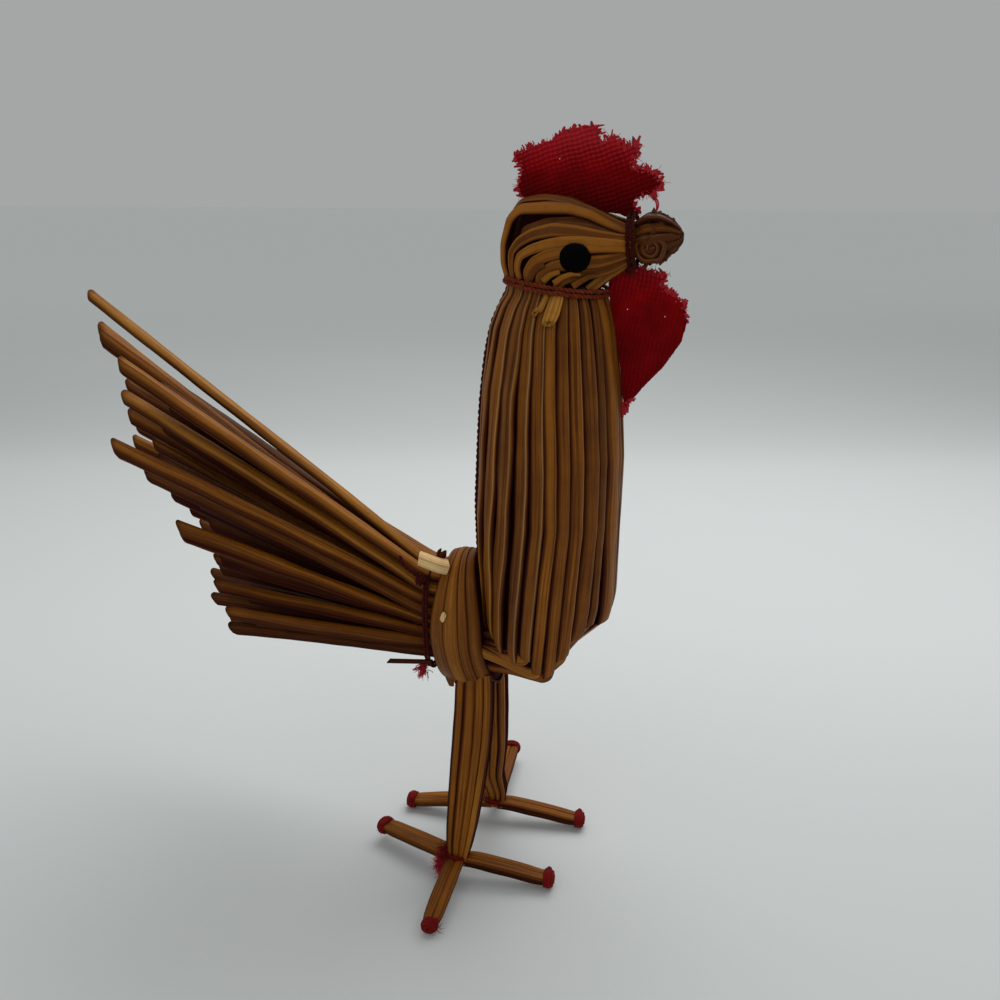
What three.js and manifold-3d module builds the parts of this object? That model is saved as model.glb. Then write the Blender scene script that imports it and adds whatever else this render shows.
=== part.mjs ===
// Straw rooster: a tied bundle of straw with a cloth comb and wattle, standing on two straw feet.
// Millimetres, +Z up, +X the way the bird faces, +Y its left side.
import * as THREE from 'three';
import Module from 'manifold-3d';

const wasm = await Module();
wasm.setup();

// ---- driving sizes ----------------------------------------------------------------------------
const GAP = 0.3;                 // air left between two pieces that touch
const THREAD = 0.85;             // thickness of the tie thread
const CLOTH = 0.8;               // thickness of the woven cloth

const NECK = { x: 14.8, z: 115.0, r: 8.3, slope: -0.13 };      // neck tie ring and its tilt
const BREAST_STRAWS = 26;        // straws round the breast bundle
// height, centre x, radius of the breast bundle, from the neck tie down
const BREAST = [[114, 14.9, 7.7], [112, 14.7, 9.0], [109.5, 14.5, 10.0], [105, 14.4, 10.9], [97, 14.4, 11.8],
  [88.5, 14.6, 12.3], [77, 14.4, 12.3], [65, 14.5, 12.0], [56, 14.7, 11.6], [45, 14.3, 11.0]];
const FOLD = { front: 54.0, side: 44.6, back: 47.5 };          // heights where the straws turn under

const BEAK_TIE = { x: 27.3, z: 122.3, r: 3.7 };
const HEAD_TOP = { x: 8.3, z: 128.6 };                         // back corner where the head straws fold
const HEAD_BOTTOM = { x: 23.6, z: 116.0 };
const EYE = { x: 19.1, y: 7.45, z: 119.9, r: 2.5, thick: 1.0 };

const WAIST = { z: 51.8, tall: 14.4, wide: 9.6, bands: 4 };    // wrapped straw bands
const TAIL_TIE = { x: -8.0, z: 53.1, tall: 11.0, wide: 6.4 };

const ANKLE = { x: 1.1, y: 9.8, z: 5.0 };
const TOE = { wide: 1.55, thick: 1.6, root: 4.2, tie: 2.2 };
// foot side, toe, heading in degrees, length to its tie, lift of the tip
const TOES = [['right', 'front', 4, 18.0, 0], ['right', 'back', 158.6, 19.4, 1.2],
  ['right', 'side', -91, 16.6, 0], ['left', 'front', 4.8, 18.2, 0],
  ['left', 'back', 182.8, 18.4, 0], ['left', 'side', 94.5, 22.0, 1.8]];

const PAINT = { straw: 0x8f6a2a, dark: 0x6e4d1f, pale: 0xd9b878, thread: 0x7a2f22, toe: 0x9c2424,
  cloth: 0xa0101c, eye: 0x0c0b0c };

// ---- small geometry kit -----------------------------------------------------------------------
const V = (x, y, z) => new THREE.Vector3(x, y, z);
const lerp = (a, b, t) => a + (b - a) * t;

function table(rows, key, col) {                // straight-line look-up in a table ordered downwards
  if (key >= rows[0][0]) return rows[0][col];
  for (let i = 1; i < rows.length; i++) {
    if (key >= rows[i][0]) {
      const t = (key - rows[i - 1][0]) / (rows[i][0] - rows[i - 1][0]);
      return lerp(rows[i - 1][col], rows[i][col], t);
    }
  }
  return rows[rows.length - 1][col];
}

function volume(pos, tri) {
  let v = 0;
  for (let i = 0; i < tri.length; i += 3) {
    const [a, b, c] = [tri[i], tri[i + 1], tri[i + 2]].map((k) => V(...pos.slice(3 * k, 3 * k + 3)));
    v += a.dot(b.cross(c)) / 6;
  }
  return v;
}

function geometry(pos, tri) {
  if (volume(pos, tri) < 0) for (let i = 0; i < tri.length; i += 3) [tri[i], tri[i + 1]] = [tri[i + 1], tri[i]];
  const g = new THREE.BufferGeometry();
  g.setAttribute('position', new THREE.Float32BufferAttribute(pos, 3));
  g.setIndex(tri);
  g.computeVertexNormals();
  return g;
}

// rings of equal count joined into one closed body; closed = the last ring joins the first
function skin(rings, closed = false) {
  const n = rings[0].length;
  const pos = [];
  const tri = [];
  rings.forEach((ring) => ring.forEach((p) => pos.push(p.x, p.y, p.z)));
  const last = closed ? rings.length : rings.length - 1;
  for (let i = 0; i < last; i++) {
    const [a, b] = [i * n, ((i + 1) % rings.length) * n];
    for (let k = 0; k < n; k++) {
      const m = (k + 1) % n;
      tri.push(a + k, b + k, b + m, a + k, b + m, a + m);
    }
  }
  if (!closed) {
    [[0, false], [rings.length - 1, true]].forEach(([i, flip]) => {
      const c = rings[i].reduce((s, p) => s.add(p), V(0, 0, 0)).divideScalar(n);
      pos.push(c.x, c.y, c.z);
      const mid = pos.length / 3 - 1;
      for (let k = 0; k < n; k++) {
        const [p, q] = [i * n + k, i * n + (k + 1) % n];
        if (flip) tri.push(mid, q, p); else tri.push(mid, p, q);
      }
    });
  }
  return geometry(pos, tri);
}

// a straw or thread along a path: half sizes wide (along `side`) and thick at each point
function sweep(points, half, { side = V(0, 1, 0), sides = 8, lobes = 0, depth = 0.12, cut = 0, first = null } = {}) {
  const rings = points.map((p, i) => {
    const t = points[Math.min(i + 1, points.length - 1)].clone().sub(points[Math.max(i - 1, 0)]).normalize();
    if (first && i === 0) t.copy(first);
    const s = (Array.isArray(side) ? side[i] : side).clone();
    s.addScaledVector(t, -s.dot(t)).normalize();
    const u = t.clone().cross(s);
    const [a, b] = half[Math.min(i, half.length - 1)];
    const ring = [];
    for (let k = 0; k < sides; k++) {
      const w = 2 * Math.PI * (k + 0.5) / sides;
      const f = lobes ? 1 - depth * (0.5 - 0.5 * Math.cos(w * lobes)) : 1;
      const q = p.clone().addScaledVector(s, a * f * Math.cos(w)).addScaledVector(u, b * f * Math.sin(w));
      if (cut && i === points.length - 1) q.addScaledVector(t, cut * b * Math.sin(w));
      ring.push(q);
    }
    return ring;
  });
  return skin(rings);
}

// wound thread: a closed loop whose section is `turns` round strands side by side along `axis`
function winding(loop, axis, turns, strand = THREAD) {
  const centre = loop.reduce((s, p) => s.add(p), V(0, 0, 0)).divideScalar(loop.length);
  const rings = loop.map((p, i) => {
    const t = loop[(i + 1) % loop.length].clone().sub(loop[(i + loop.length - 1) % loop.length]).normalize();
    const out = t.clone().cross(axis).normalize();
    if (out.dot(p.clone().sub(centre)) < 0) out.negate();
    const half = turns * strand / 2;
    const ring = [[-half, 0]];
    for (let k = 0; k < turns; k++) {
      const mid = -half + (k + 0.5) * strand;
      ring.push([mid - strand * 0.22, strand], [mid + strand * 0.22, strand]);
      if (k < turns - 1) ring.push([mid + strand / 2, strand * 0.62]);
    }
    ring.push([half, 0]);
    return ring.map(([a, r]) => p.clone().addScaledVector(axis, a).addScaledVector(out, r));
  });
  return skin(rings, true);
}

// oval loop in the plane of two directions; square above 1 fills out its corners
function oval(centre, u, v, a, b, count, square = 1) {
  const bow = (t) => Math.sign(t) * Math.pow(Math.abs(t), 1 / square);
  return Array.from({ length: count }, (_, k) => {
    const w = 2 * Math.PI * (k + 0.5) / count;
    return centre.clone().addScaledVector(u, a * bow(Math.cos(w))).addScaledVector(v, b * bow(Math.sin(w)));
  });
}

function solid(g) {
  return new wasm.Manifold(new wasm.Mesh({ numProp: 3,
    vertProperties: new Float32Array(g.attributes.position.array), triVerts: new Uint32Array(g.index.array) }));
}

function unsolid(m) {
  const mesh = m.getMesh();
  return geometry(Array.from(mesh.vertProperties), Array.from(mesh.triVerts));
}

function block(a, b) {
  return skin([a.z, b.z].map((z) => [V(a.x, a.y, z), V(b.x, a.y, z), V(b.x, b.y, z), V(a.x, b.y, z)]));
}

// cloth piece standing near the plane y = 0, from an outline of [x, z]; bend gives its y
function cloth(outline, thick, bend) {
  const pts = outline.map(([x, z]) => new THREE.Vector2(x, z));
  if (THREE.ShapeUtils.area(pts) < 0) pts.reverse();
  const n = pts.length;
  const pos = [];
  [-1, 1].forEach((s) => pts.forEach((p) => pos.push(p.x, bend(p.x, p.y) + s * thick / 2, p.y)));
  const tri = [];
  THREE.ShapeUtils.triangulateShape(pts, []).forEach((t) => {
    const [a, b, c] = THREE.ShapeUtils.area(t.map((k) => pts[k])) < 0 ? [t[0], t[2], t[1]] : t;
    tri.push(a, b, c, n + a, n + c, n + b);
  });
  for (let k = 0; k < n; k++) {
    const m = (k + 1) % n;
    tri.push(k, n + m, m, k, n + k, n + m);
  }
  return geometry(pos, tri);
}

const root = new THREE.Group();
root.name = 'straw_rooster';
function add(name, g, colour, roughness = 0.7) {
  const mesh = new THREE.Mesh(g, new THREE.MeshStandardMaterial({ color: colour, roughness, metalness: 0 }));
  mesh.name = name;
  root.add(mesh);
  return mesh;
}

// ---- breast bundle: straws from the neck tie down, turned under to the waist ---------------------
const neckPlane = (x, off) => NECK.z + off + NECK.slope * (x - NECK.x);

function breast() {
  const perStraw = 4;
  const n = BREAST_STRAWS * perStraw;
  const relief = [0.94, 0.992, 1.0, 0.992];
  const rows = [0, 0.035, 0.12, 0.3, 0.5, 0.7, 0.88, 1];
  const foldAt = (w) => {
    const c = Math.cos(w);
    return FOLD.side + (c > 0 ? FOLD.front - FOLD.side : FOLD.back - FOLD.side) * c * c;
  };
  const at = (k, z, shrink) => {
    const w = 2 * Math.PI * k / n;
    const r = table(BREAST, z, 2) * shrink * relief[k % perStraw];
    return V(table(BREAST, z, 1) + r * Math.cos(w), r * Math.sin(w), z);
  };
  const rings = rows.map((t) => Array.from({ length: n }, (_, k) => {
    const w = 2 * Math.PI * k / n;
    const top = neckPlane(NECK.x + NECK.r * Math.cos(w), -GAP / 2);
    const p = at(k, lerp(top, foldAt(w), t), t > 0.99 ? 0.95 : 1);
    if (t === 0) p.z = top;
    return p;
  }));
  [[0.55, 0.5], [0.2, 0.9]].forEach(([scale, blend]) => {
    rings.push(rings[rows.length - 1].map((p) => V(lerp(8.5, p.x, scale), p.y * scale,
      lerp(p.z - 0.8, 46.5, blend))));
  });
  return skin(rings);
}

// ---- head: the same straws folded over and gathered into the beak ---------------------------------
function headStraw(angle, hand) {
  const [c, s] = [Math.cos(angle), Math.sin(angle)];
  const k = (1 - c) / 2;
  const y = (r, least) => -hand * Math.max(r * s, least);
  const p0 = V(NECK.x - 7.1 * c, y(7.1, 2.3), 0);
  p0.z = neckPlane(p0.x, 1.4 * GAP);
  const p1 = V(lerp(HEAD_TOP.x, HEAD_BOTTOM.x, Math.pow(k, 1.4)), y(6.5, 2.3), lerp(HEAD_TOP.z, HEAD_BOTTOM.z, k));
  const tie = (x, r, least) => V(BEAK_TIE.x + x, y(r, least), BEAK_TIE.z + r * c);
  const back = p0.clone().lerp(p1, 0.36).add(V(-1.7 * Math.max(c, 0), -hand * 0.5 * s, 0));
  const fore = p1.clone().lerp(tie(0, 3, 1.7), 0.55).add(V(0, -hand * 1.2 * s, 0.6 * c));
  const path = [p0, back, p1, fore, tie(-1, 2.95, 1.7), tie(0.6, 2.75, 0.7)];
  const out = path.map((p) => {
    const core = V(lerp(14.8, 27, Math.min(Math.max((p.z - 114) / 9, 0), 1)), 0, Math.min(p.z, 122));
    return p.clone().sub(core);
  });
  const dirs = path.map((p, i) => {
    const t = path[Math.min(i + 1, 5)].clone().sub(path[Math.max(i - 1, 0)]).normalize();
    return out[i].cross(t).normalize();
  });
  const wide = [1.6, 1.7, 1.65, 1.5, 1.0, 0.95];
  return sweep(path, wide.map((w) => [w, 0.62]), { side: dirs, sides: 6 });
}

const headAngles = [12, 43, 74, 105, 136, 166].map((d) => d * Math.PI / 180);
let head = null;
[1, -1].forEach((hand) => headAngles.forEach((a) => {
  const s = solid(headStraw(a, hand));
  head = head ? head.add(s) : s;
}));
[1, -1].forEach((hand) => {
  const pocket = skinSphere(V(EYE.x, -hand * EYE.y, EYE.z), EYE.r + GAP, EYE.thick + GAP);
  head = head.subtract(solid(pocket));
});
add('head_straws', unsolid(head), PAINT.straw);

function skinSphere(c, r, thick, slices = 12) {
  const rings = [];
  const rows = 5;
  for (let i = 0; i <= rows; i++) {
    const w = Math.PI * (i + 0.35) / (rows + 0.7);
    rings.push(Array.from({ length: slices }, (_, k) => {
      const v = 2 * Math.PI * k / slices;
      return V(c.x + r * Math.sin(w) * Math.cos(v), c.y + thick * Math.cos(w), c.z + r * Math.sin(w) * Math.sin(v));
    }));
  }
  return skin(rings);
}
add('eye_right', skinSphere(V(EYE.x, -EYE.y, EYE.z), EYE.r, EYE.thick), PAINT.eye, 0.3);
add('eye_left', skinSphere(V(EYE.x, EYE.y, EYE.z), EYE.r, EYE.thick), PAINT.eye, 0.3);


// ---- neck, beak and back threads ------------------------------------------------------------------
const neckAxis = V(-NECK.slope, 0, 1).normalize();
const neckAcross = V(1, 0, NECK.slope).normalize();
const neckCentre = V(NECK.x, 0, NECK.z);
add('neck_thread', winding(oval(neckCentre, neckAcross, V(0, 1, 0), NECK.r + GAP, NECK.r + GAP, 26),
  neckAxis, 2), PAINT.thread);
const beakAxis = V(1, 0, 0.06).normalize();
const beakUp = V(-0.06, 0, 1).normalize();
const beakCentre = V(BEAK_TIE.x, 0, BEAK_TIE.z);
add('beak_thread', winding(oval(beakCentre, beakUp, V(0, 1, 0), BEAK_TIE.r + GAP, BEAK_TIE.r + GAP, 16),
  beakAxis, 2, 0.75), PAINT.thread);

function backThread() {
  const heights = [112.6, 109, 103, 95, 86, 76, 66, 60.5];
  return sweep(heights.map((z) => {
    const r = table(BREAST, z, 2) + GAP + 0.4;
    const w = Math.PI * 1.045;
    return V(table(BREAST, z, 1) + r * Math.cos(w), r * Math.sin(w), z);
  }), [[0.45, 0.4]], { sides: 6 });
}
add('back_thread', backThread(), PAINT.thread);

// the end of one straw folded down over the breast just under the neck tie
function looseEnd() {
  const w = -1.5;
  return sweep([113.0, 111, 108.6, 106.2].map((z) => {
    const r = table(BREAST, z, 2) + GAP + 0.4;
    return V(table(BREAST, z, 1) + r * Math.cos(w), r * Math.sin(w), z);
  }), [[1.3, 0.35], [1.6, 0.4], [1.6, 0.4], [1.4, 0.35]], { side: V(1, 0, 0), sides: 6, cut: 0.6 });
}
add('neck_loose_end', looseEnd(), PAINT.pale);

// ---- beak: a knot of the gathered straw ends ------------------------------------------------------
function beak() {
  const rows = [[28.6, 122.3, 2.4, 2.4], [28.9, 122.4, 4.2, 4.4], [30.6, 122.7, 4.4, 5.0],
    [32.4, 122.7, 3.6, 4.3], [34.2, 122.9, 2.3, 2.9], [35.3, 123.2, 0.8, 1.0]];
  const lobes = 7;
  return skin(rows.map(([x, z, a, b], i) => Array.from({ length: 14 }, (_, k) => {
    const w = 2 * Math.PI * k / 14;
    const f = k % 2 ? 1 : 0.93;
    return V(x + 0.5 * Math.sin(w * lobes / 3.5 + i), a * f * Math.cos(w), z + b * f * Math.sin(w));
  })));
}
add('beak', beak(), PAINT.dark);

// ---- comb and wattle: woven cloth with frayed edges ------------------------------------------------
// main corners of each outline; frayed edges get a tooth between corners
function fray(corners, from, to, tooth) {
  const out = [];
  corners.forEach(([x, z], i) => {
    out.push([x, z]);
    if (i < from || i >= to) return;
    const [nx, nz] = corners[i + 1];
    const [dx, dz] = [nx - x, nz - z];
    const len = Math.hypot(dx, dz);
    const bite = tooth * (i % 2 ? 1 : 0.6) / len;
    out.push([x + 0.45 * dx + dz * bite, z + 0.45 * dz - dx * bite]);
  });
  return out;
}
const COMB = [[25.2, 127.0], [9.4, 128.0], [7.9, 130.6], [8.7, 133.0], [7.5, 135.4], [10.4, 137.0],
  [13.6, 137.9], [15.2, 139.3], [18.2, 139.8], [20.9, 140.0], [21.4, 137.2], [23.6, 138.2],
  [25.6, 136.7], [27.6, 136.9], [26.6, 133.4], [30.2, 133.1], [31.5, 131.2], [29.8, 129.6], [28.4, 130.6]];
add('comb', cloth(fray(COMB, 2, 17, -0.55), CLOTH, (x, z) => 0.25 * Math.sin((x - 9) * 0.28) * (z - 128) / 8),
  PAINT.cloth, 0.9);
const WATTLE = [[27.5, 117.15], [31.2, 117.3], [32.9, 117.0], [32.4, 115.4], [34.6, 113.8], [36.1, 112.0],
  [36.4, 109.6], [35.6, 106.2], [33.0, 101.8], [30.2, 98.6], [28.6, 96.4], [27.6, 95.4], [27.1, 93.6],
  [26.9, 97.0], [26.9, 101], [26.2, 105.5], [25.2, 109.5], [25.2, 113.4]];
add('wattle', cloth(fray(WATTLE, 2, 6, -0.5), CLOTH, (x, z) => 0.3 * Math.sin((z - 94) * 0.3)), PAINT.cloth, 0.9);

// ---- waist: flattened straws wrapped side by side round the bundle --------------------------------
// x of each band edge at the top, the side and the bottom of the wrap, then its height and width
const WRAP = [[-6.75, -6.75, -6.75, 9.9, 6.4], [-5.4, -6.6, -5.4, 11.6, 7.9], [-4.0, -5.7, -4.0, 13.4, 9.2],
  [-3.2, -4.2, -2.2, 13.8, 9.2], [-2.6, -2.8, -0.6, 14.3, 9.6], [-1.7, -1.4, 0.5, 14.0, 9.3],
  [-1.0, -0.2, 1.5, 14.3, 9.5], [-0.3, 1.0, 2.4, 13.8, 9.1], [0.2, 1.9, 3.3, 13.7, 9.0], [0.5, 2.7, 4.1, 12.6, 8.0]];
function waist(grow) {
  const around = 28;
  return skin(WRAP.map(([top, side, bottom, tall, wide], i) => Array.from({ length: around }, (_, k) => {
    const w = 2 * Math.PI * k / around;
    const c = Math.cos(w);
    const x = lerp(side, c > 0 ? top : bottom, Math.pow(Math.abs(c), 1.6));
    const out = i === 0 ? -grow : i === WRAP.length - 1 ? grow : 0;
    return V(x + out, -(wide + grow) * Math.sin(w), WAIST.z + (tall + grow) * c);
  })));
}
const wrapRoom = solid(waist(GAP));
add('breast_straws', unsolid(solid(breast()).subtract(wrapRoom)), PAINT.straw);

// ---- tail: a fan of straws in three columns, tied where they leave the waist ------------------------
// for each column, near, middle and far: heading above the horizon in degrees, length, width
const TAIL = [
  [[33.4, 68.9, 2.8], [29.3, 68.6, 2.5], [23.8, 66.6, 3.2], [22.5, 61.3, 2.9],
    [18.2, 51.1, 3.8], [8, 44.2, 2.6], [7, 39.8, 2.5], [3.3, 41.3, 2.4]],
  [[35.9, 84.4, 1.9], [32.1, 81.8, 3.3], [26.4, 69.8, 2.8], [24.6, 65.8, 2.8],
    [20.6, 58.7, 2.8], [9.8, 48.9, 2.7], [4.2, 47.7, 2.5], [-0.3, 45.6, 2.7]],
  [[29.8, 84.1, 2.6], [24.7, 77.4, 2.5], [21.9, 72.2, 2.7], [19.5, 74.6, 2.8],
    [14.6, 58.4, 2.9], [12.4, 57.2, 2.8], [7.3, 50.7, 2.8], [6.3, 54.5, 2.8]]];
const ROOT = { x: -7.05, apart: 3.9, top: 61.3, step: 2.42 };   // where the straws enter the waist
TAIL.forEach((column, c) => column.forEach(([angle, length, width], i) => {
  const a = angle * Math.PI / 180;
  const end = i === 0 || i === column.length - 1;          // the bundle is rounder at its top and bottom
  const y0 = (c - 1) * (ROOT.apart - (end ? 0.4 : 0));
  const z0 = ROOT.top - i * ROOT.step;
  const y1 = (c - 1) * 8 + (i % 2 ? 1.6 : -1.6);
  const at = (t) => V(ROOT.x - length * t * Math.cos(a), lerp(y0, y1, t), z0 + length * t * Math.sin(a));
  const path = [V(ROOT.x, y0, z0), V(ROOT.x - 2.2, lerp(y0, y1, 0.02), z0 + 1.3 * Math.sin(a)), at(0.3),
    at(0.65), at(1)];
  const tall = Math.min(width, 2.6) / 2;
  const half = [[end ? 1.3 : 1.65, 0.95], [end ? 1.35 : 1.6, 0.95], [1.45, Math.min(tall, 1.08)], [1.35, Math.min(tall, 1.25)],
    [1.3, width / 2]];
  add(`tail_straw_${'abc'[c]}${i + 1}`, sweep(path, half.map(([w, h]) => [Math.min(w, width / 2 + 0.3), h]),
    { sides: 6, cut: -0.9, first: V(-1, 0, 0) }), i % 3 ? PAINT.straw : PAINT.dark);
}));
add('tail_thread', winding(oval(V(TAIL_TIE.x, 0, TAIL_TIE.z), V(0, 0, 1), V(0, 1, 0), TAIL_TIE.tall,
  TAIL_TIE.wide, 24, 1.7), V(1, 0, 0), 2), PAINT.thread);
const stub = sweep([V(-8.2, -5.9, 65.6), V(-6.0, -5.9, 64.8), V(-3.0, -5.9, 63.7)], [[1.6, 1.25]], { sides: 8 });
add('pale_straw_stub', unsolid(solid(stub).subtract(wrapRoom)), PAINT.pale);
add('thin_broken_straw', sweep([V(-15.0, -6.0, 42.5), V(-11, -6.1, 42.6), V(-6.0, -6.2, 42.7)], [[0.5, 0.45]],
  { sides: 6 }), PAINT.dark);
add('waist_wrap', waist(0), PAINT.straw);

// ---- legs, feet and their ties --------------------------------------------------------------------
function leg(hand) {
  const far = hand < 0 ? 0.4 : 0;
  const rows = [[41, 1.2, 4.4, 3.6, 1.9], [36.6, 1.2, 4.8, 3.75, 2.0], [29, 0.8, 6.0, 3.95, 2.0],
    [20, 0.1 + far, 7.6, 3.95, 1.9], [12, -0.6 + far, 8.9, 3.4, 1.8],
    [ANKLE.z + 1.6, ANKLE.x * -hand + 0.15, ANKLE.y, 2.1, 1.75], [ANKLE.z, ANKLE.x * -hand, ANKLE.y, 1.7, 1.6],
    [2.3, ANKLE.x * -hand, ANKLE.y, 1.9, 1.8]];
  return sweep(rows.map(([z, x, y]) => V(x, -hand * y, z)), rows.map((r) => [r[3], r[4]]),
    { side: V(1, 0, 0), sides: 15, lobes: 5, depth: 0.25 });
}
add('leg_right', unsolid(solid(leg(1)).subtract(wrapRoom)), PAINT.straw);
add('leg_left', unsolid(solid(leg(-1)).subtract(wrapRoom)), PAINT.straw);

const footAt = (side) => (side === 'right' ? V(-ANKLE.x, -ANKLE.y, 0) : V(ANKLE.x, ANKLE.y, 0));
['right', 'left'].forEach((side) => {
  const c = footAt(side).setZ(ANKLE.z);
  add(`ankle_thread_${side}`, winding(oval(c, V(1, 0, 0), V(0, 1, 0), 1.85 + GAP, 1.75 + GAP, 12), V(0, 0, 1), 1),
    PAINT.thread);
});

TOES.forEach(([side, name, heading, length, lift]) => {
  const a = heading * Math.PI / 180;
  const dir = V(Math.cos(a), Math.sin(a), 0);
  const across = V(-Math.sin(a), Math.cos(a), 0);
  const start = 3.3;                                   // just outside the ankle thread
  const z0 = TOE.root;
  const zt = TOE.tie * Math.cos(Math.PI / 8) - 0.06 + lift;      // the tie rests on a small flat
  const at = (d, z) => footAt(side).addScaledVector(dir, d).setZ(z);
  const stops = [[start, z0, 1.35, 1.4], [length * 0.35, z0, TOE.wide, TOE.thick],
    [length * 0.65, lerp(z0, zt, 0.45), 1.55, 1.55], [length - 1.9, zt + 0.15, 1.4, 1.4], [length, zt, 1.1, 1.1],
    [length + 1.1, zt, 1.15, 1.15]];
  add(`toe_${side}_${name}`, sweep(stops.map(([d, z]) => at(d, z)), stops.map((s) => [s[2], s[3]]),
    { side: across, sides: 9, lobes: 3, depth: 0.14 }), PAINT.straw);
  const ring = winding(oval(at(length, zt), across, V(0, 0, 1), 1.1 + GAP, 1.1 + GAP, 8), dir, 2, 0.8);
  const flat = solid(ring).intersect(solid(block(V(-99, -99, lift), V(99, 99, 20))));
  add(`toe_thread_${side}_${name}`, unsolid(flat), PAINT.toe);
});

// ---- set the origin under the middle of the box ---------------------------------------------------
const bounds = new THREE.Box3();
root.children.forEach((m) => { m.geometry.computeBoundingBox(); bounds.union(m.geometry.boundingBox); });
const mid = bounds.getCenter(V(0, 0, 0));
root.children.forEach((m) => m.geometry.translate(-mid.x, -mid.y, -bounds.min.z));

export default root;
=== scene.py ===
"""Straw rooster with a woven cloth comb: hollow straws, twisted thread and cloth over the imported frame.

Sizes in the tables are millimetres from the point on the ground midway between the ankles, +X the way the
bird faces, +Y its left, +Z up. place() turns them to metres in the frame's own axes.
"""

import bpy
import numpy as np
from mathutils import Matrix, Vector


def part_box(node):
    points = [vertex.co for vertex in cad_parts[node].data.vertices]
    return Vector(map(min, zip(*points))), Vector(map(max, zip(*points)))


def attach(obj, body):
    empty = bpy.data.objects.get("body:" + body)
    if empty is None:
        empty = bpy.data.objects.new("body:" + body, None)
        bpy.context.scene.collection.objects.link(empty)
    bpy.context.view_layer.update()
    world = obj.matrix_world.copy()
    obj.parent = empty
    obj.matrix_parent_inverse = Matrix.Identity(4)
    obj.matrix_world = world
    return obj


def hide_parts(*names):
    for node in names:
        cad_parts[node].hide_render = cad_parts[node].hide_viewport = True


bl_info = {
    "name": "Straw rooster",
    "version": (1, 0, 0),
    "blender": (4, 5, 0),
    "location": "3D view > Sidebar > Straw rooster",
    "description": "Builds a tied straw rooster with a cloth comb and wattle",
    "category": "Add Mesh",
}

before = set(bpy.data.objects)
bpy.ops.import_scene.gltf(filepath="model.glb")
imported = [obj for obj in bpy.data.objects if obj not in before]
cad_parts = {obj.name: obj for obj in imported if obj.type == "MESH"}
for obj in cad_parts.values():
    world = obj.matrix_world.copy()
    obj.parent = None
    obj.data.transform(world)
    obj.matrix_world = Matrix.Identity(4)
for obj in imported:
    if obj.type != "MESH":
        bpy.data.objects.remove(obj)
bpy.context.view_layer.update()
rng = np.random.default_rng(20)
TAU = 2 * np.pi
MM = 1000       # mm in a metre
SOFT_CREASE = 80        # degrees, above which thread and cloth show an edge


def box_middle(name):
    """Middle of a part of the frame, in metres."""
    low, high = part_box(name)
    return (np.array(low) + np.array(high)) / 2


ORIGIN = (box_middle("ankle_thread_right") + box_middle("ankle_thread_left")) / 2 * (1, 1, 0)


def place(points):
    return np.asarray(points, float) / MM + ORIGIN


# ---- settings a user would change ----
def size(name, description, default):
    """A length in mm that the user can change in the panel."""
    return bpy.props.FloatProperty(name=name, description=description, default=default, min=0.01,
                                   soft_max=60.0)


def hue(name, description, default):
    """A colour in hex that the user can change in the panel."""
    return bpy.props.StringProperty(name=name, description=description, default=default)


class StrawSettings(bpy.types.PropertyGroup):
    wall: size("Wall", "Thickness of a straw's wall at its cut end, mm", 0.22)
    hollow: size("Hollow depth", "How deep a cut end is open, mm", 7.0)
    flute: bpy.props.FloatProperty(name="Flute", description="Depth of the lengthwise ribs", default=0.025,
                                   min=0, max=0.2, subtype="FACTOR")
    gold: hue("Straw gold", "Aged straw on its crown", "#9a5d16")
    brown: hue("Straw brown", "Streaks and older straws", "#5f320b")
    light: hue("Straw light", "Worn fibres that catch the light", "#bf8634")
    # painted shade: the gap colour is painted into the joints between straws, over their tucked and inward
    # sides and inside hollow ends; it is also the darkest tone of the darkened straw
    gap: hue("Straw gap", "Dust and dye between the straws", "#330604")
    # cream is also the colour of the painted highlight on the straw edges that lie on top
    cream: hue("Fresh straw", "Straw that never darkened", "#f6d196")


class ThreadSettings(bpy.types.PropertyGroup):
    ply: size("Ply", "Radius of one of the two plies, mm", 0.235)
    twist: size("Twist", "Length of one full twist, mm", 1.9)
    rust: hue("Rust red", "Tie thread", "#85341b")
    red: hue("Toe red", "Thread on the toes and the fluff", "#7e1613")
    maroon: hue("Maroon", "Darker thread of the beak, back and tail ties", "#4c100b")
    # painted shade: the valley colour is painted where the plies meet
    dark: hue("Thread valley", "Between the plies", "#2c0a07")


class ClothSettings(bpy.types.PropertyGroup):
    step: size("Thread step", "Distance from thread to thread in the weave, mm", 0.7)
    relief: size("Relief", "Height of the weave, mm", 0.11)
    thick: size("Thickness", "Thickness of the cloth, mm", 0.34)
    red: hue("Cloth red", "Dyed cotton", "#98050c")
    # fray red is also the colour of the painted highlight over the top of the comb and wattle
    fray: hue("Fray red", "Loose thread ends", "#c8303a")
    # painted shade: the valley colour is painted between the threads and, as painted shadow, over the lower
    # comb and wattle
    valley: hue("Cloth valley", "Between the threads", "#4c0205")


class StageSettings(bpy.types.PropertyGroup):
    lens: bpy.props.FloatProperty(name="Lens", description="Focal length on a 36 mm sensor", default=34.67,
                                  min=10, max=200, unit="CAMERA")
    table: hue("Table", "Pale table top", "#e9ecec")


def settings(kind):
    return getattr(bpy.context.scene, "rooster_" + kind)


# ---- surfaces worked out with numpy ----
def table(rows, key):
    """Straight-line look-up of every other column of rows, whose first column falls."""
    rows = np.asarray(rows, float)[::-1]
    return [np.interp(key, rows[:, 0], rows[:, c]) for c in range(1, rows.shape[1])]


def unit(vectors):
    return vectors / np.linalg.norm(vectors, axis=-1, keepdims=True)


def path_length(points):
    return np.linalg.norm(np.diff(points, axis=0), axis=1).sum()


def angles(count, shift=0.0):
    """Angles evenly once round a circle; a shift of 0.5 starts half a step on."""
    return TAU * (np.arange(count) + shift) / count


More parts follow.
